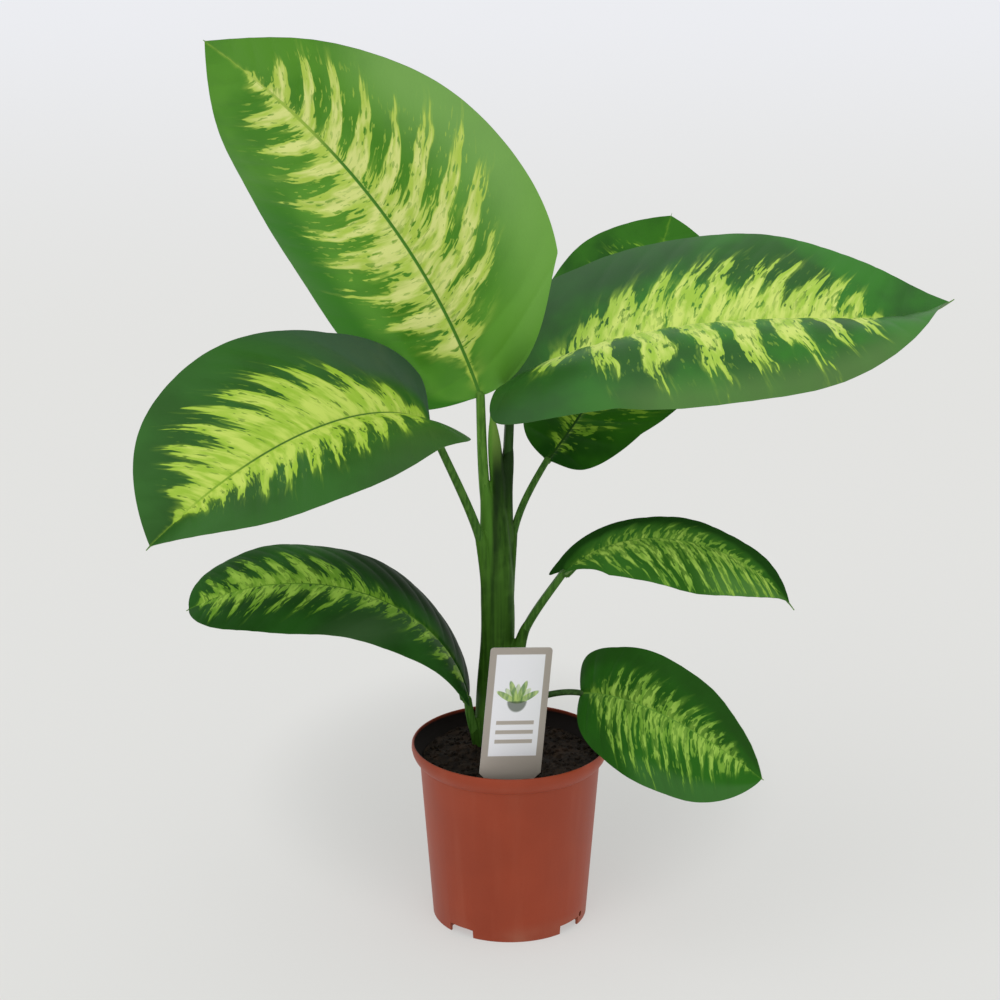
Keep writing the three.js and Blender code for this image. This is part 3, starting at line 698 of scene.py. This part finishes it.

# Each leaf in degrees and metres, with pairs for the left and right half. The midrib leaves base at
# heading and rise, turns by sway, falls by droop with bend as its power, and lifts by flick at its end.
# roll and twist turn the blade round it, fold lifts its halves, and curl bends them down. lobe is how far
# they reach back past the base, and outline the powers of the width curve. slant leads the side veins
# forward. start, handles and radii are the free stalk's.
# Of the splashes, flames is how many stand along the midrib, slim how narrow they are, uneven how
# irregular, holes how broken, core how whole at heart, and specks how pale the loose specks are. Each row
# of spread and fill is a place along the midrib and a value for each half: how far out the splashes reach,
# and how far they fill the green between them. The last table is painted light: each row lightens a patch
# of one half with painted sheen or darkens it with painted shade. A row gives the half, 1 left or -1 right,
# where it starts and ends along the midrib, where it sets in and is full outwards, a colour and its depth.
LEAVES = [dict(
    name="leaf_top", slot="young_leaf",
    base=(-0.025, 0.027, 0.463), length=0.387, half=(0.110, 0.121),
    heading=194, rise=72, droop=35, bend=0.95, flick=0, sway=-4,
    roll=-98, twist=-21, fold=(10, 11), curl=(55, 19), lobe=(0.06, -0.04),
    outline=(0.52, 0.8, 0.98), wave=0.002, waves=3, tip=0.004, veins=17, slant=(-0.02, 0.11),
    start=(-0.0195, 0.015, 0.366), handles=((-0.004, 0.001, 0.030), (0.001, -0.002, -0.034)),
    radii=(0.0048, 0.0038),
    green="5c9b2c", deep="498921", cream="eaf294", lime="bcd956", rib="4c8828",
    shine=0.22, flames=(12.5, 13), slim=0.3, holes=0.41, core=0.7, rib_half=0.0018, specks=0.6,
    uneven=3, seed=3,
    spread=(
        (0, 0, 0), (0.08, 0.06, 0.06), (0.16, 0.32, 0.34), (0.25, 0.48, 0.58), (0.36, 0.54, 0.74),
        (0.46, 0.54, 0.6), (0.53, 0.54, 0.52), (0.6, 0.54, 0.66), (0.72, 0.54, 0.7), (0.82, 0.46, 0.5),
        (0.9, 0, 0)),
    fill=((0, 0.5, 0.45), (0.45, 0.4, 0.35), (0.7, 0.3, 0.05), (1, 0.3, 0.05)),
    sheen_and_shade=(
        (-1, 0, 0.6, 0.35, 0.9, "93c26c", 0.6), (-1, 0, 0.15, 0, 0.3, "6fae3a", 0.6),
        (1, -0.1, 0.55, 0.5, 0.75, "2f7a0a", 0.9)),
), dict(
    name="leaf_upper_right", slot="leaf",
    base=(0, 0.034, 0.467), length=0.3885, half=(0.119, 0.126),
    heading=-4, rise=40.5, droop=56.5, bend=0.585, flick=48, sway=18,
    roll=8, twist=2.5, fold=(29.5, 45.5), curl=(24.5, 116.5), lobe=(0.14, 0.12),
    outline=(0.41, 1.19, 0.945), wave=0.0016, waves=2.5, tip=0.012, veins=17, slant=(0.04, -0.08),
    start=(-0.002, 0.028, 0.406), handles=((0.0002, 0.0005, 0.018), (0, -0.002, -0.024)),
    radii=(0.0046, 0.0038),
    green="357d22", deep="2b5f20", cream="d6e878", lime="a6cc45", rib="34611f",
    shine=0.22, flames=(15, 11), slim=0.2, holes=0.42, core=0.8, rib_half=0.0019, specks=0.3,
    uneven=3, seed=9,
    spread=(
        (0.06, 0, 0), (0.14, 0.14, 0.4), (0.23, 0.38, 0.58), (0.4, 0.54, 0.66), (0.6, 0.56, 0.68),
        (0.76, 0.48, 0.6), (0.86, 0, 0)),
    fill=((0, 0.6, 0.3), (0.35, 0.7, 0.32), (0.7, 0.5, 0.28), (1, 0.4, 0.25)),
    sheen_and_shade=(
        (1, 0, 0.35, 0.35, 0.7, "2f5530", 0.7), (-1, 0, 0.2, 0, 0.3, "2b5526", 0.6),
        (-1, 0.25, 0.8, 0.72, 0.95, "628848", 0.65), (1, -0.1, 0.06, 0, 0.1, "2b5526", 0.8)),
), dict(
    name="leaf_back", slot="leaf",
    base=(0.032, 0.048, 0.400), length=0.299, half=(0.088, 0.087),
    heading=54, rise=27, droop=-11, bend=1, flick=0, sway=18,
    roll=20, twist=-8, fold=(8, 5), curl=(31, 30), lobe=(0.04, 0.07),
    outline=(0.62, 2.08, 1.01), wave=0.002, waves=3, tip=0.012, veins=15, slant=(0.04, 0.04),
    start=(0.0015, 0.025, 0.326), handles=((0.001, 0.004, 0.026), (-0.0175, -0.008, -0.028)),
    radii=(0.0034, 0.0028),
    green="357317", deep="1d4f10", cream="a9cf45", lime="7dae30", rib="2f5a1c",
    shine=0.1, flames=(12, 12), slim=0.34, holes=0.5, core=0.1, rib_half=0.0013, specks=0.6,
    uneven=4, seed=14,
    spread=(
        (0, 0, 0), (0.12, 0.35, 0.6), (0.3, 0.5, 0.75), (0.6, 0.55, 0.65), (0.8, 0.6, 0.4),
        (0.9, 0, 0)),
    fill=((0, 0, 0), (1, 0, 0)),
    sheen_and_shade=(),
), dict(
    name="leaf_left", slot="leaf",
    base=(-0.066, -0.030, 0.456), length=0.307, half=(0.098, 0.101),
    heading=227, rise=44, droop=78, bend=0.52, flick=0, sway=-9,
    roll=-31, twist=6, fold=(36, 21), curl=(36, 23), lobe=(0.06, 0.09),
    outline=(0.44, 1.44, 0.93), wave=0.0016, waves=2.5, tip=0.015, veins=15, slant=(0.05, 0.13),
    start=(-0.024, 0.007, 0.338), handles=((-0.007, -0.007, 0.032), (0.012, 0.009, -0.034)),
    radii=(0.0044, 0.0034),
    green="326723", deep="2b5a1c", cream="cce168", lime="a0c63d", rib="55802f",
    shine=0.16, flames=(14, 13), slim=0.24, holes=0.38, core=1, rib_half=0.0014, specks=0.4,
    uneven=3.5, seed=21,
    spread=(
        (0, 0.05, 0.1), (0.1, 0.34, 0.26), (0.2, 0.42, 0.4), (0.35, 0.5, 0.5), (0.6, 0.52, 0.6),
        (0.8, 0.42, 0.48), (0.92, 0, 0)),
    fill=((0, 0.6, 0.6), (1, 0.5, 0.55)),
    sheen_and_shade=((-1, -0.1, 0.16, 0.3, 0.55, "40594a", 0.9), (1, -0.1, 0.3, 0.5, 0.8, "3b5b2e", 0.5)),
), dict(
    name="leaf_low_left", slot="old_leaf",
    base=(-0.036, 0.008, 0.195), length=0.299, half=(0.063, 0.064),
    heading=199, rise=84, droop=113, bend=0.82, flick=0, sway=-21,
    roll=-19, twist=1, fold=(10, 10), curl=(29, 32), lobe=(0.03, 0),
    outline=(0.37, 1.31, 0.5), wave=0.0012, waves=3, tip=0.01, veins=15, slant=(0.04, 0.04),
    start=(-0.028, 0.014, 0.157), handles=((-0.004, -0.002, 0.012), (0.001, 0.002, -0.013)),
    radii=(0.0050, 0.0037),
    green="2a5a1f", deep="1f4716", cream="9dc54d", lime="6a992d", rib="527f2c",
    shine=0.02, flames=(14, 15), slim=0.3, holes=0.45, core=0.5, rib_half=0.0008, specks=0.5,
    uneven=6, seed=28,
    spread=(
        (0, 0.5, 0), (0.1, 0.5, 0), (0.28, 0.45, 0), (0.38, 0.3, 0.04), (0.48, 0.5, 0.32),
        (0.6, 0.56, 0.56), (0.8, 0.6, 0.6), (0.92, 0.6, 0.6), (0.98, 0, 0)),
    fill=((0, 0, 0.1), (0.35, 0.1, 0.1), (0.5, 0.35, 0.35), (1, 0.4, 0.4)),
    sheen_and_shade=((-1, -0.1, 0.4, 0.1, 0.5, "142a10", 0.9), (1, 0.3, 0.42, 0, 0.9, "4c6b44", 0.7)),
), dict(
    name="leaf_low_right", slot="old_leaf",
    base=(0.045, 0, 0.314), length=0.221, half=(0.061, 0.064),
    heading=-11, rise=53, droop=105, bend=0.81, flick=0, sway=6,
    roll=12, twist=-7, fold=(14, 15), curl=(50, 57), lobe=(0.18, -0.03),
    outline=(0.67, 1.44, 1.19), wave=0.001, waves=3, tip=0.03, veins=13, slant=(0.04, 0.04),
    start=(0.011, 0.010, 0.254), handles=((0.006, -0.003, 0.018), (-0.013, 0.002, -0.020)),
    radii=(0.0040, 0.0034),
    green="3c7229", deep="2f5f1d", cream="a6cb58", lime="74a33a", rib="6b9a3a",
    shine=0, flames=(15, 17), slim=0.26, holes=0.5, core=0.35, rib_half=0.0008, specks=0.7,
    uneven=6, seed=35,
    spread=(
        (0, 0, 0.1), (0.1, 0.05, 0.6), (0.25, 0.22, 0.8), (0.5, 0.28, 0.85), (0.7, 0.22, 0.95),
        (0.86, 0.2, 0.9), (0.95, 0, 0)),
    fill=((0, 0.5, 0.45), (1, 0.5, 0.45)),
    sheen_and_shade=((1, -0.1, 1, 0.25, 0.5, "1f4417", 0.9), (-1, 0.5, 1, 0.5, 0.8, "5c8a42", 0.6)),
), dict(
    name="leaf_bottom_right", slot="old_leaf",
    base=(0.061, 0, 0.2045), length=0.2205, half=(0.0515, 0.062),
    heading=-54, rise=21, droop=41.5, bend=0.765, flick=0, sway=11,
    roll=65.5, twist=21, fold=(19, 12), curl=(14.5, 14), lobe=(0.045, 0.008),
    outline=(0.48, 0.82, 0.7), wave=0.0012, waves=3, tip=0.01, veins=13, slant=(0.04, 0.04),
    start=(0.007, 0.013, 0.186), handles=((0.012, -0.003, 0.010), (-0.018, 0.001, 0.003)),
    radii=(0.0030, 0.0026),
    green="2e6a1c", deep="255815", cream="a0c855", lime="74a438", rib="6c9c3c",
    shine=0.04, flames=(16, 16), slim=0.28, holes=0.5, core=0.4, rib_half=0.0007, specks=0.7,
    uneven=6, seed=42,
    spread=(
        (0.04, 0, 0), (0.12, 0.24, 0.36), (0.22, 0.46, 0.66), (0.38, 0.48, 0.7), (0.55, 0.42, 0.6),
        (0.75, 0.42, 0.52), (0.88, 0.3, 0.36), (0.95, 0, 0)),
    fill=((0, 0.45, 0.35), (0.5, 0.55, 0.45), (0.8, 0.5, 0.5), (1, 0.5, 0.5)),
    sheen_and_shade=((1, -0.1, 1, 0.5, 0.8, "224a15", 0.6), (-1, 0.3, 1, 0.6, 0.8, "45743a", 0.6)),
)]


class Blade:
    """A leaf's blade: a midrib that turns and droops, and two halves that fold up and curl down beside it."""

    def __init__(self, leaf):
        self.leaf = leaf
        self.widest = self.outline(np.linspace(0.001, 0.999, 999)).max()
        middles = (np.arange(MIDRIB_STEPS) + 0.5) / MIDRIB_STEPS
        steps = self.along(middles) * leaf["length"] / MIDRIB_STEPS
        self.midrib = np.vstack([leaf["base"], leaf["base"] + np.cumsum(steps, axis=0)])

    def outline(self, u):
        a, k, b = self.leaf["outline"]
        inside = np.clip(u, 0, 1)
        return inside ** a * (1 - inside ** k) ** b

    def width(self, u):
        """The blade's width at u as a share of its greatest, with a thin drip tip past the outline's end."""
        end = 1 + self.leaf["tip"]
        tip = TIP_WIDTH * np.clip((end - u) / (self.leaf["tip"] + TIP_START), 0, 1) ** 1.4
        body = self.outline(u) / self.widest
        return np.where(u > 0.5, np.maximum(body, tip), body)

    def heading(self, u):
        return np.radians(self.leaf["heading"] + self.leaf["sway"] * u)

    def along(self, u):
        heading = self.heading(u)
        lift = self.leaf["flick"] * u ** FLICK_POWER
        pitch = np.radians(self.leaf["rise"] - self.leaf["droop"] * u ** self.leaf["bend"] + lift)
        level = np.cos(pitch)
        return np.stack([level * np.cos(heading), level * np.sin(heading), np.sin(pitch)], axis=-1)

    def frame(self, share):
        """The midrib's point, and the directions to the blade's left side and out of its upper face."""
        u = np.clip(share, 0, 1)
        along = self.along(u)
        heading = self.heading(u)
        roll = np.radians(self.leaf["roll"] + self.leaf["twist"] * u)[..., None]
        level = np.stack([-np.sin(heading), np.cos(heading), np.zeros_like(heading)], axis=-1)
        above = np.cross(along, level)
        side = level * np.cos(roll) + above * np.sin(roll)
        out = above * np.cos(roll) - level * np.sin(roll)
        step = np.minimum((u * MIDRIB_STEPS).astype(int), MIDRIB_STEPS - 1)
        part = (u * MIDRIB_STEPS - step)[..., None]
        point = self.midrib[step] * (1 - part) + self.midrib[step + 1] * part
        return point + along * ((share - u) * self.leaf["length"])[..., None], side, out

    def of_half(self, name, t):
        """One of the leaf's pairs of values, for the half that t lies in."""
        return np.array(self.leaf[name])[(t < 0).astype(int)]

    def vein_root(self, u, t):
        """Where on the midrib the side vein through u, t starts."""
        return u - self.of_half("slant", t) * np.abs(t) * self.width(u)

    def surface(self, u, t, depth=0.0):
        """The upper face at u along the midrib and t across, from 1 at the left edge to -1 at the right."""
        leaf = self.leaf
        across = np.abs(t)
        half = self.of_half("half", t)
        lobe = self.of_half("lobe", t) * np.sin(np.pi * np.clip(u / LOBE_END, 0, 1))
        back = np.where(u < LOBE_END, lobe, 0)
        forward = (VEIN_SWEEP * np.sin(np.pi * np.clip(u, 0, 1)) - back) * across ** SWEEP_POWER
        reach = half * self.width(u) * across
        fold = np.radians(self.of_half("fold", t))
        bend = np.radians(self.of_half("curl", t)) / half
        slope = fold - bend * reach
        sideways = (np.sin(fold) - np.sin(slope)) / bend
        ripple = leaf["wave"] * np.sin(2 * np.pi * leaf["waves"] * u + 2 * (t < 0)) * (reach / half) ** 2
        veins = np.abs(np.sin(np.pi * leaf["veins"] * self.vein_root(u, t) + VEIN_STAGGER * (t < 0)))
        inner = np.clip(reach / QUILT_REACH, 0, 1) * np.clip(1.3 - across ** 3, 0, 1)
        quilt = QUILT_DEPTH * (veins ** 0.6 - 0.6) * inner
        groove = GROOVE_DEPTH * np.exp(-(reach / RIB_HALF_WIDTH) ** 2) * np.clip(1 - u, 0, 1) ** 0.6
        height = (np.cos(slope) - np.cos(fold)) / bend + ripple + quilt - groove - depth
        point, side, out = self.frame(u + forward)
        return point + side * (np.sign(t) * sideways)[..., None] + out * height[..., None]


def blade_mesh(leaf, blade):
    """The blade as a closed sheet, thin at its margin and thick under its midrib."""
    piece, flat = grid(leaf["name"], BLADE_ROWS, BLADE_COLUMNS)
    u = (1 - np.cos(np.pi * (flat[:, 0] + 0.5))) / 2 * (1 + leaf["tip"])
    t = np.sign(flat[:, 1]) * np.abs(2 * flat[:, 1]) ** COLUMN_POWER
    reach = blade.of_half("half", t) * blade.width(u) * np.abs(t)
    veins = piece.data.attributes.new("vein", "FLOAT_VECTOR", "POINT")
    veins.data.foreach_set("vector", np.stack([blade.vein_root(u, t), t, reach], axis=-1).ravel())
    move_points(piece, blade.surface(u, t))
    margin = MARGIN_SHARE + (1 - MARGIN_SHARE) * np.clip((1 - np.abs(t)) / MARGIN_WIDTH, 0, 1)
    rib = RIB_DEPTH * np.exp(-(reach / RIB_HALF_WIDTH) ** 2) * np.clip(1 - u, 0, 1) ** 0.7
    thick = (BLADE_THICKNESS * margin + rib) / (BLADE_THICKNESS + RIB_DEPTH)
    group = piece.vertex_groups.new(name="thickness")
    for index, weight in enumerate(thick):
        group.add([index], float(weight), "REPLACE")
    bpy.ops.object.mode_set(mode="EDIT")
    bpy.ops.mesh.select_all(action="SELECT")
    bpy.ops.mesh.remove_doubles(threshold=MERGE_DISTANCE)
    bpy.ops.object.mode_set(mode="OBJECT")
    piece.data.materials.append(None)
    piece.data.materials.append(None)
    apply_modifier(
        piece, "SOLIDIFY", thickness=BLADE_THICKNESS + RIB_DEPTH, offset=-1, vertex_group="thickness",
        thickness_vertex_group=0.0, material_offset=1, material_offset_rim=1)
    return piece


def bezier(start, handles, end, steps):
    """Points along a curve that leaves its start and meets its end along two handles."""
    s = np.linspace(0, 1, steps)[:, None]
    start, end = np.array(start), np.array(end)
    first, second = start + handles[0], end + handles[1]
    return (1 - s) ** 3 * start + 3 * s * (1 - s) ** 2 * first + 3 * s ** 2 * (1 - s) * second + s ** 3 * end


def stalk_mesh(leaf, blade):
    """The free stalk, which runs on under the midrib and thins out there."""
    free = bezier(leaf["start"], np.array(leaf["handles"]), leaf["base"], STALK_RINGS)
    run = np.linspace(*RIB_RUN, RIB_RINGS)
    under = blade.surface(run, np.zeros_like(run), leaf["radii"][1] * (0.75 - 2 * run))
    centres = np.vstack([free, under])
    low, high = leaf["radii"]
    radii = np.concatenate([np.linspace(low, high, STALK_RINGS), high * np.linspace(0.95, 0.3, RIB_RINGS)])
    _, _, out = blade.frame(np.zeros(1))
    facing = np.repeat(out, len(centres), axis=0)
    groove = np.concatenate([np.linspace(0.16, 0.3, STALK_RINGS), np.linspace(0.3, 0.1, RIB_RINGS)])
    return tube(leaf["name"] + "_stalk", centres, radii, facing, STALK_SIDES, groove, 0.3 * groove)


def blade_finish(leaf):
    """The blade's upper face: green, with cream flames that follow the side veins out from the midrib."""
    finish = Finish(leaf["name"] + "_upper", leaf["deep"], Specular_IOR_Level=leaf["shine"])
    root, across, reach = finish.carried("vein")
    left = across > 0
    share = abs(across)
    seed = leaf["seed"] + 5.3 * left

    def along_blade(table):
        """A value along the midrib, from a table with one column for each half of the blade."""
        stops = [(position, (on_left, on_right, 0, 1)) for position, on_left, on_right in table]
        on_left, on_right, _ = finish.parts(finish.ramp(stops, root))
        return on_left * left + on_right * (1 - left)

    # Each splash is a flame that starts at the midrib and thins out along its vein.
    wander = finish.streaks(root * 9, reach * 25, seed)
    along = root + 0.025 * (wander - 0.5)
    row = along * leaf["length"]
    limit = along_blade(leaf["spread"])
    fill = along_blade(leaf["fill"])
    left_flames, right_flames = leaf["flames"]
    turns = along * (2 * math.pi) * (right_flames + (left_flames - right_flames) * left)
    beat = (turns + leaf["uneven"] * wander + seed).sine() * 0.5 + 0.5
    flame = 0.62 * beat + 0.38 * finish.streaks(row * 80, reach * 8, seed).rise(0.3, 0.7)
    tongue = finish.streaks(row * 320, reach * 34, seed + 2, 3)
    dash = finish.streaks(row * 320, reach * 100, seed + 4)
    flame = flame.rise(leaf["slim"], leaf["slim"] + 0.45, fill, 1.2)
    strength = limit * (flame + 1.2 * (tongue - 0.5)) - share

    # Dashes of green break it up, and specks lie loose round it.
    body = strength.past(0, 0.03)
    holes = dash.rise(leaf["holes"] - 0.05, leaf["holes"] + 0.03)
    kept = holes.most(strength.rise(0.1, 0.5) * leaf["core"])
    specks = (limit * 1.3 + 0.1 - share).rise(0, 0.35) * dash.rise(0.61, 0.66) * (limit > 0.02)
    pale_share = (body * kept).most(specks * leaf["specks"])

    # The green varies slowly, and lime leads over from it to the cream.
    tone = finish.noise(finish.place(), 16, detail=3)
    grain = finish.streaks(row * 140, reach * 40, seed + 6, 3)
    finish.coat(tone.rise(0.35, 0.65), leaf["green"])
    # Painted sheen and shade: each row lightens or darkens a patch of one half for how the light falls on the
    # blade.
    for side, start, end, near, far, painted_tone, depth in leaf["sheen_and_shade"]:
        patch = (left if side > 0 else 1 - left) * share.rise(near, far)
        patch = patch * root.past(start, 0.08) * (1 - root.past(end, 0.12))
        finish.coat(patch * depth, painted_tone)
    lime = paint(leaf["lime"])
    halo = strength.rise(-0.2, 0.1) * grain.rise(0.4, 0.65) * 0.5
    finish.coat(halo, lime)
    bright = finish.blend(strength.rise(-0.05, 0.3) * grain.rise(0.35, 0.6), lime, paint(leaf["cream"]))
    finish.coat(pale_share, bright)
    rib_half = leaf["rib_half"]
    rib = (1 - reach.rise(0.55 * rib_half, rib_half)) * (1 - root.rise(0.75, 0.92) * 0.85)
    finish.coat(rib, finish.blend(root.rise(0.6, 0.75) * 0.7, paint(leaf["rib"]), lime))
    cells = finish.noise(finish.place(), 1500, detail=1)
    finish.feed("Roughness", 0.36 + 0.12 * tone + 0.05 * pale_share)
    fine_vein = finish.streaks(row * 900, reach * 20, seed, 1)
    finish.relief(0.75 * fine_vein + 0.25 * cells, 0.0002, 0.5)
    return finish.done()


def back_finish(name, green, pale):
    """A blade's duller, paler underside."""
    finish = Finish(name, green, Specular_IOR_Level=0.25)
    root, across, reach = finish.carried("vein")
    streak = finish.streaks(root * 22, reach * 9, across.rise(-0.01, 0.01, 0, 5))
    centre = 1 - abs(across).rise(0.25, 0.75)
    finish.coat(streak.rise(0.45, 0.65) * centre * 0.7, pale)
    rib = 1 - reach.rise(0.0015, 0.004)
    finish.coat(rib * 0.6, pale)
    finish.feed("Roughness", 0.5 + 0.1 * streak)
    fine = finish.streaks(root * 300, reach * 15, detail=1)
    finish.relief(fine, 0.0003, 0.5)
    return finish.done()


def stalk_finish(name, green, pale):
    """Smooth green rind with fine lengthwise lines and pale flecks."""
    finish = Finish(name, green, Specular_IOR_Level=0.15)
    x, y, z = finish.parts(finish.place())
    stripe = finish.streaks(x * 420, y * 420, z * 12)
    fleck = finish.streaks(x * 260, y * 260, z * 90)
    finish.coat(stripe.rise(0.35, 0.7) * 0.6, pale)
    finish.coat(fleck.rise(0.62, 0.72) * 0.4, pale)
    finish.feed("Roughness", 0.42 + 0.15 * stripe)
    finish.relief(stripe, 0.0003, 0.6)
    return finish.done()


leaf_back_finish = back_finish("blade_underside", "4c7438", "7da055")
# The upper right leaf's stalk wears a darker copy of the rind: painted shade, as it lies in shade under the
# top leaves.
stalk_skins = {
    "leaf_top": stalk_finish("young_stalk_rind", "447420", "6f9f3c"),
    "leaf_upper_right": stalk_finish("shaded_stalk_rind", "1f3f10", "33591f"),
    "leaf_bottom_right": stalk_finish("thin_stalk_rind", "2b4a1c", "4a6c35"),
}
stalk_skin = stalk_finish("stalk_rind", "35601c", "5c8a38")

for leaf in LEAVES:
    blade = Blade(leaf)
    piece = blade_mesh(leaf, blade)
    piece.data.materials[0] = blade_finish(leaf)
    piece.data.materials[1] = leaf_back_finish
    stalk = stalk_mesh(leaf, blade)
    stalk.data.materials.append(stalk_skins.get(leaf["name"], stalk_skin))
    piece = join([piece, stalk])
    smooth(piece, 50)
    piece.name = leaf["name"] + "_blade"
    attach(piece, "root")
    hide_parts(leaf["name"])


# The plant label is a thin white plastic card on a pointed stake, pushed into the soil in front of the
# stem. Its print is plain: a taupe frame round a white panel, with a fan of leaflets in a bowl over three
# stripes. The back is bare.

LABEL_SIZE = (0.054, 0.119)
LABEL_THICKNESS = 0.0010
LABEL_CORNER = 0.003
LABEL_EDGE = 0.00015
LABEL_SHOULDER = 0.006
LABEL_LEAN = 5.2
LABEL_TURN = 15
LABEL_FOOT = (-0.0006, -0.061, 0.150)
STAKE_SIZE = (0.016, 0.044)
STAKE_POINT = 0.014
# The print, in metres from the middle of the card's foot.
PANEL_SIDES, PANEL_ENDS = (-0.0212, 0.0212), (0.022, 0.1135)
FAN_FOOT = 0.0700
LEAFLETS = 7
LEAFLET_TURN = 20
LEAFLET_WIDTH = 0.0054
BOWL_TOP, BOWL_RADII = 0.0715, (0.0085, 0.0100)
STRIPES = 3
STRIPE_SIDES, STRIPE_HEIGHT = (-0.0165, 0.0165), 0.0035
STRIPE_TOP, STRIPE_STEP = 0.0505, 0.0085

half_width, label_height = LABEL_SIZE[0] / 2, LABEL_SIZE[1]
half_stake = STAKE_SIZE[0] / 2
bpy.ops.object.select_all(action="DESELECT")
bpy.ops.mesh.primitive_plane_add(size=1)
label = bpy.context.object
label.name = "plant_label_card"
flat = points_of(label)
flat[:, 0] = np.sign(flat[:, 0]) * half_stake
flat[:, 1] = np.where(flat[:, 1] > 0, 0, STAKE_POINT - STAKE_SIZE[1])
move_points(label, flat)


def select_edge_at(piece, height):
    """Selects the edges that lie along one height of a flat mesh."""
    bpy.ops.object.mode_set(mode="OBJECT")
    level = [abs(vertex.co.y - height) < 1e-6 for vertex in piece.data.vertices]
    for vertex in piece.data.vertices:
        vertex.select = level[vertex.index]
    for edge in piece.data.edges:
        edge.select = level[edge.vertices[0]] and level[edge.vertices[1]]
    for face in piece.data.polygons:
        face.select = False
    bpy.ops.object.mode_set(mode="EDIT")


bpy.ops.object.mode_set(mode="EDIT")
bpy.ops.mesh.select_mode(type="EDGE")
select_edge_at(label, STAKE_POINT - STAKE_SIZE[1])
bpy.ops.mesh.extrude_region_move(TRANSFORM_OT_translate={"value": (0, -STAKE_POINT, 0)})
bpy.ops.transform.resize(value=(0.08, 1, 1), center_override=(0, -STAKE_SIZE[1], 0))
select_edge_at(label, 0)
width = half_stake
card_stations = (
    (half_width - LABEL_SHOULDER, 0.0005), (half_width, LABEL_SHOULDER),
    (half_width, label_height - LABEL_SHOULDER))
for next_width, rise in card_stations:
    bpy.ops.mesh.extrude_region_move(TRANSFORM_OT_translate={"value": (0, rise, 0)})
    bpy.ops.transform.resize(value=(next_width / width, 1, 1), center_override=(0, 0, 0))
    width = next_width
bpy.ops.mesh.bevel(offset=LABEL_CORNER, segments=6, affect="VERTICES")
bpy.ops.object.mode_set(mode="OBJECT")
apply_modifier(label, "SOLIDIFY", thickness=LABEL_THICKNESS, offset=0)
apply_modifier(
    label, "BEVEL", width=LABEL_EDGE, segments=2, limit_method="ANGLE", angle_limit=math.radians(50))
flat = points_of(label)
card = label.data.attributes.new("card", "FLOAT_VECTOR", "POINT")
card.data.foreach_set("vector", flat.ravel())
label.rotation_euler = (math.pi / 2, math.radians(LABEL_LEAN), math.radians(LABEL_TURN))
label.location = LABEL_FOOT
settle(label)
smooth(label, 30)

label_finish = Finish("printed_card", "c6bcb1", Specular_IOR_Level=0.4)
card_x, card_y, card_z = label_finish.carried("card")


def within(value, low, high, soft=0.0003):
    """A soft-edged band of a value between two limits."""
    return value.past(low, soft) * (1 - value.past(high, soft))


def oval(x, y, centre, radii, turn=0.0):
    """A soft-edged oval, turned by an angle in degrees."""
    c, s = math.cos(math.radians(turn)), math.sin(math.radians(turn))
    across, up = x - centre[0], y - centre[1]
    far = (((across * c + up * s) / radii[0]) ** 2 + ((up * c - across * s) / radii[1]) ** 2) ** 0.5
    return 1 - far.rise(0.9, 1.1)


print_on = label_finish.noise(label_finish.joined(card_x, card_y), 900, detail=1)
front = card_z.rise(0, 0.0002)
label_finish.coat(card_y.rise(0.0, 0.03), "aaa198")
label_finish.coat(print_on * 0.3, "b5aca2")
panel = within(card_x, *PANEL_SIDES) * within(card_y, *PANEL_ENDS)
label_finish.coat(panel, "f4f4f9")
brushed = label_finish.streaks(card_x * 350, card_y * 90)
leafy = label_finish.blend(brushed.rise(0.35, 0.65), paint("5c8a35"), paint("b4cf72"))
for leaflet in range(LEAFLETS):
    lean = LEAFLET_TURN * (leaflet - LEAFLETS // 2)
    up, sideways = math.cos(math.radians(lean)), math.sin(math.radians(lean))
    half_length, depth = (0.0085, 0.6) if leaflet % 2 else (0.0105, 0.9)
    centre = (half_length * sideways, FAN_FOOT + half_length * up)
    drawn = oval(card_x, card_y, centre, (half_length, LEAFLET_WIDTH / 2), 90 - lean)
    label_finish.coat(drawn * depth, leafy)
bowl = oval(card_x, card_y, (0.0, BOWL_TOP + 0.0003), BOWL_RADII) * (1 - card_y.past(BOWL_TOP, 0.0003))
label_finish.coat(bowl * 0.8, "44543c")
for stripe in range(STRIPES):
    low = STRIPE_TOP - STRIPE_STEP * stripe
    drawn = within(card_x, *STRIPE_SIDES) * within(card_y, low, low + STRIPE_HEIGHT)
    label_finish.coat(drawn, "b5aca2")
printed = front * card_y.past(0, 0.001)
label_finish.coat(1 - printed, "dcdad6")
damp = (1 - card_y.rise(-0.02, 0.003)) * print_on
label_finish.coat(damp, "4a3c30")
label_finish.feed("Roughness", 0.32 + 0.1 * print_on)
label.data.materials.append(label_finish.done())
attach(label, "root")
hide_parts("plant_label")
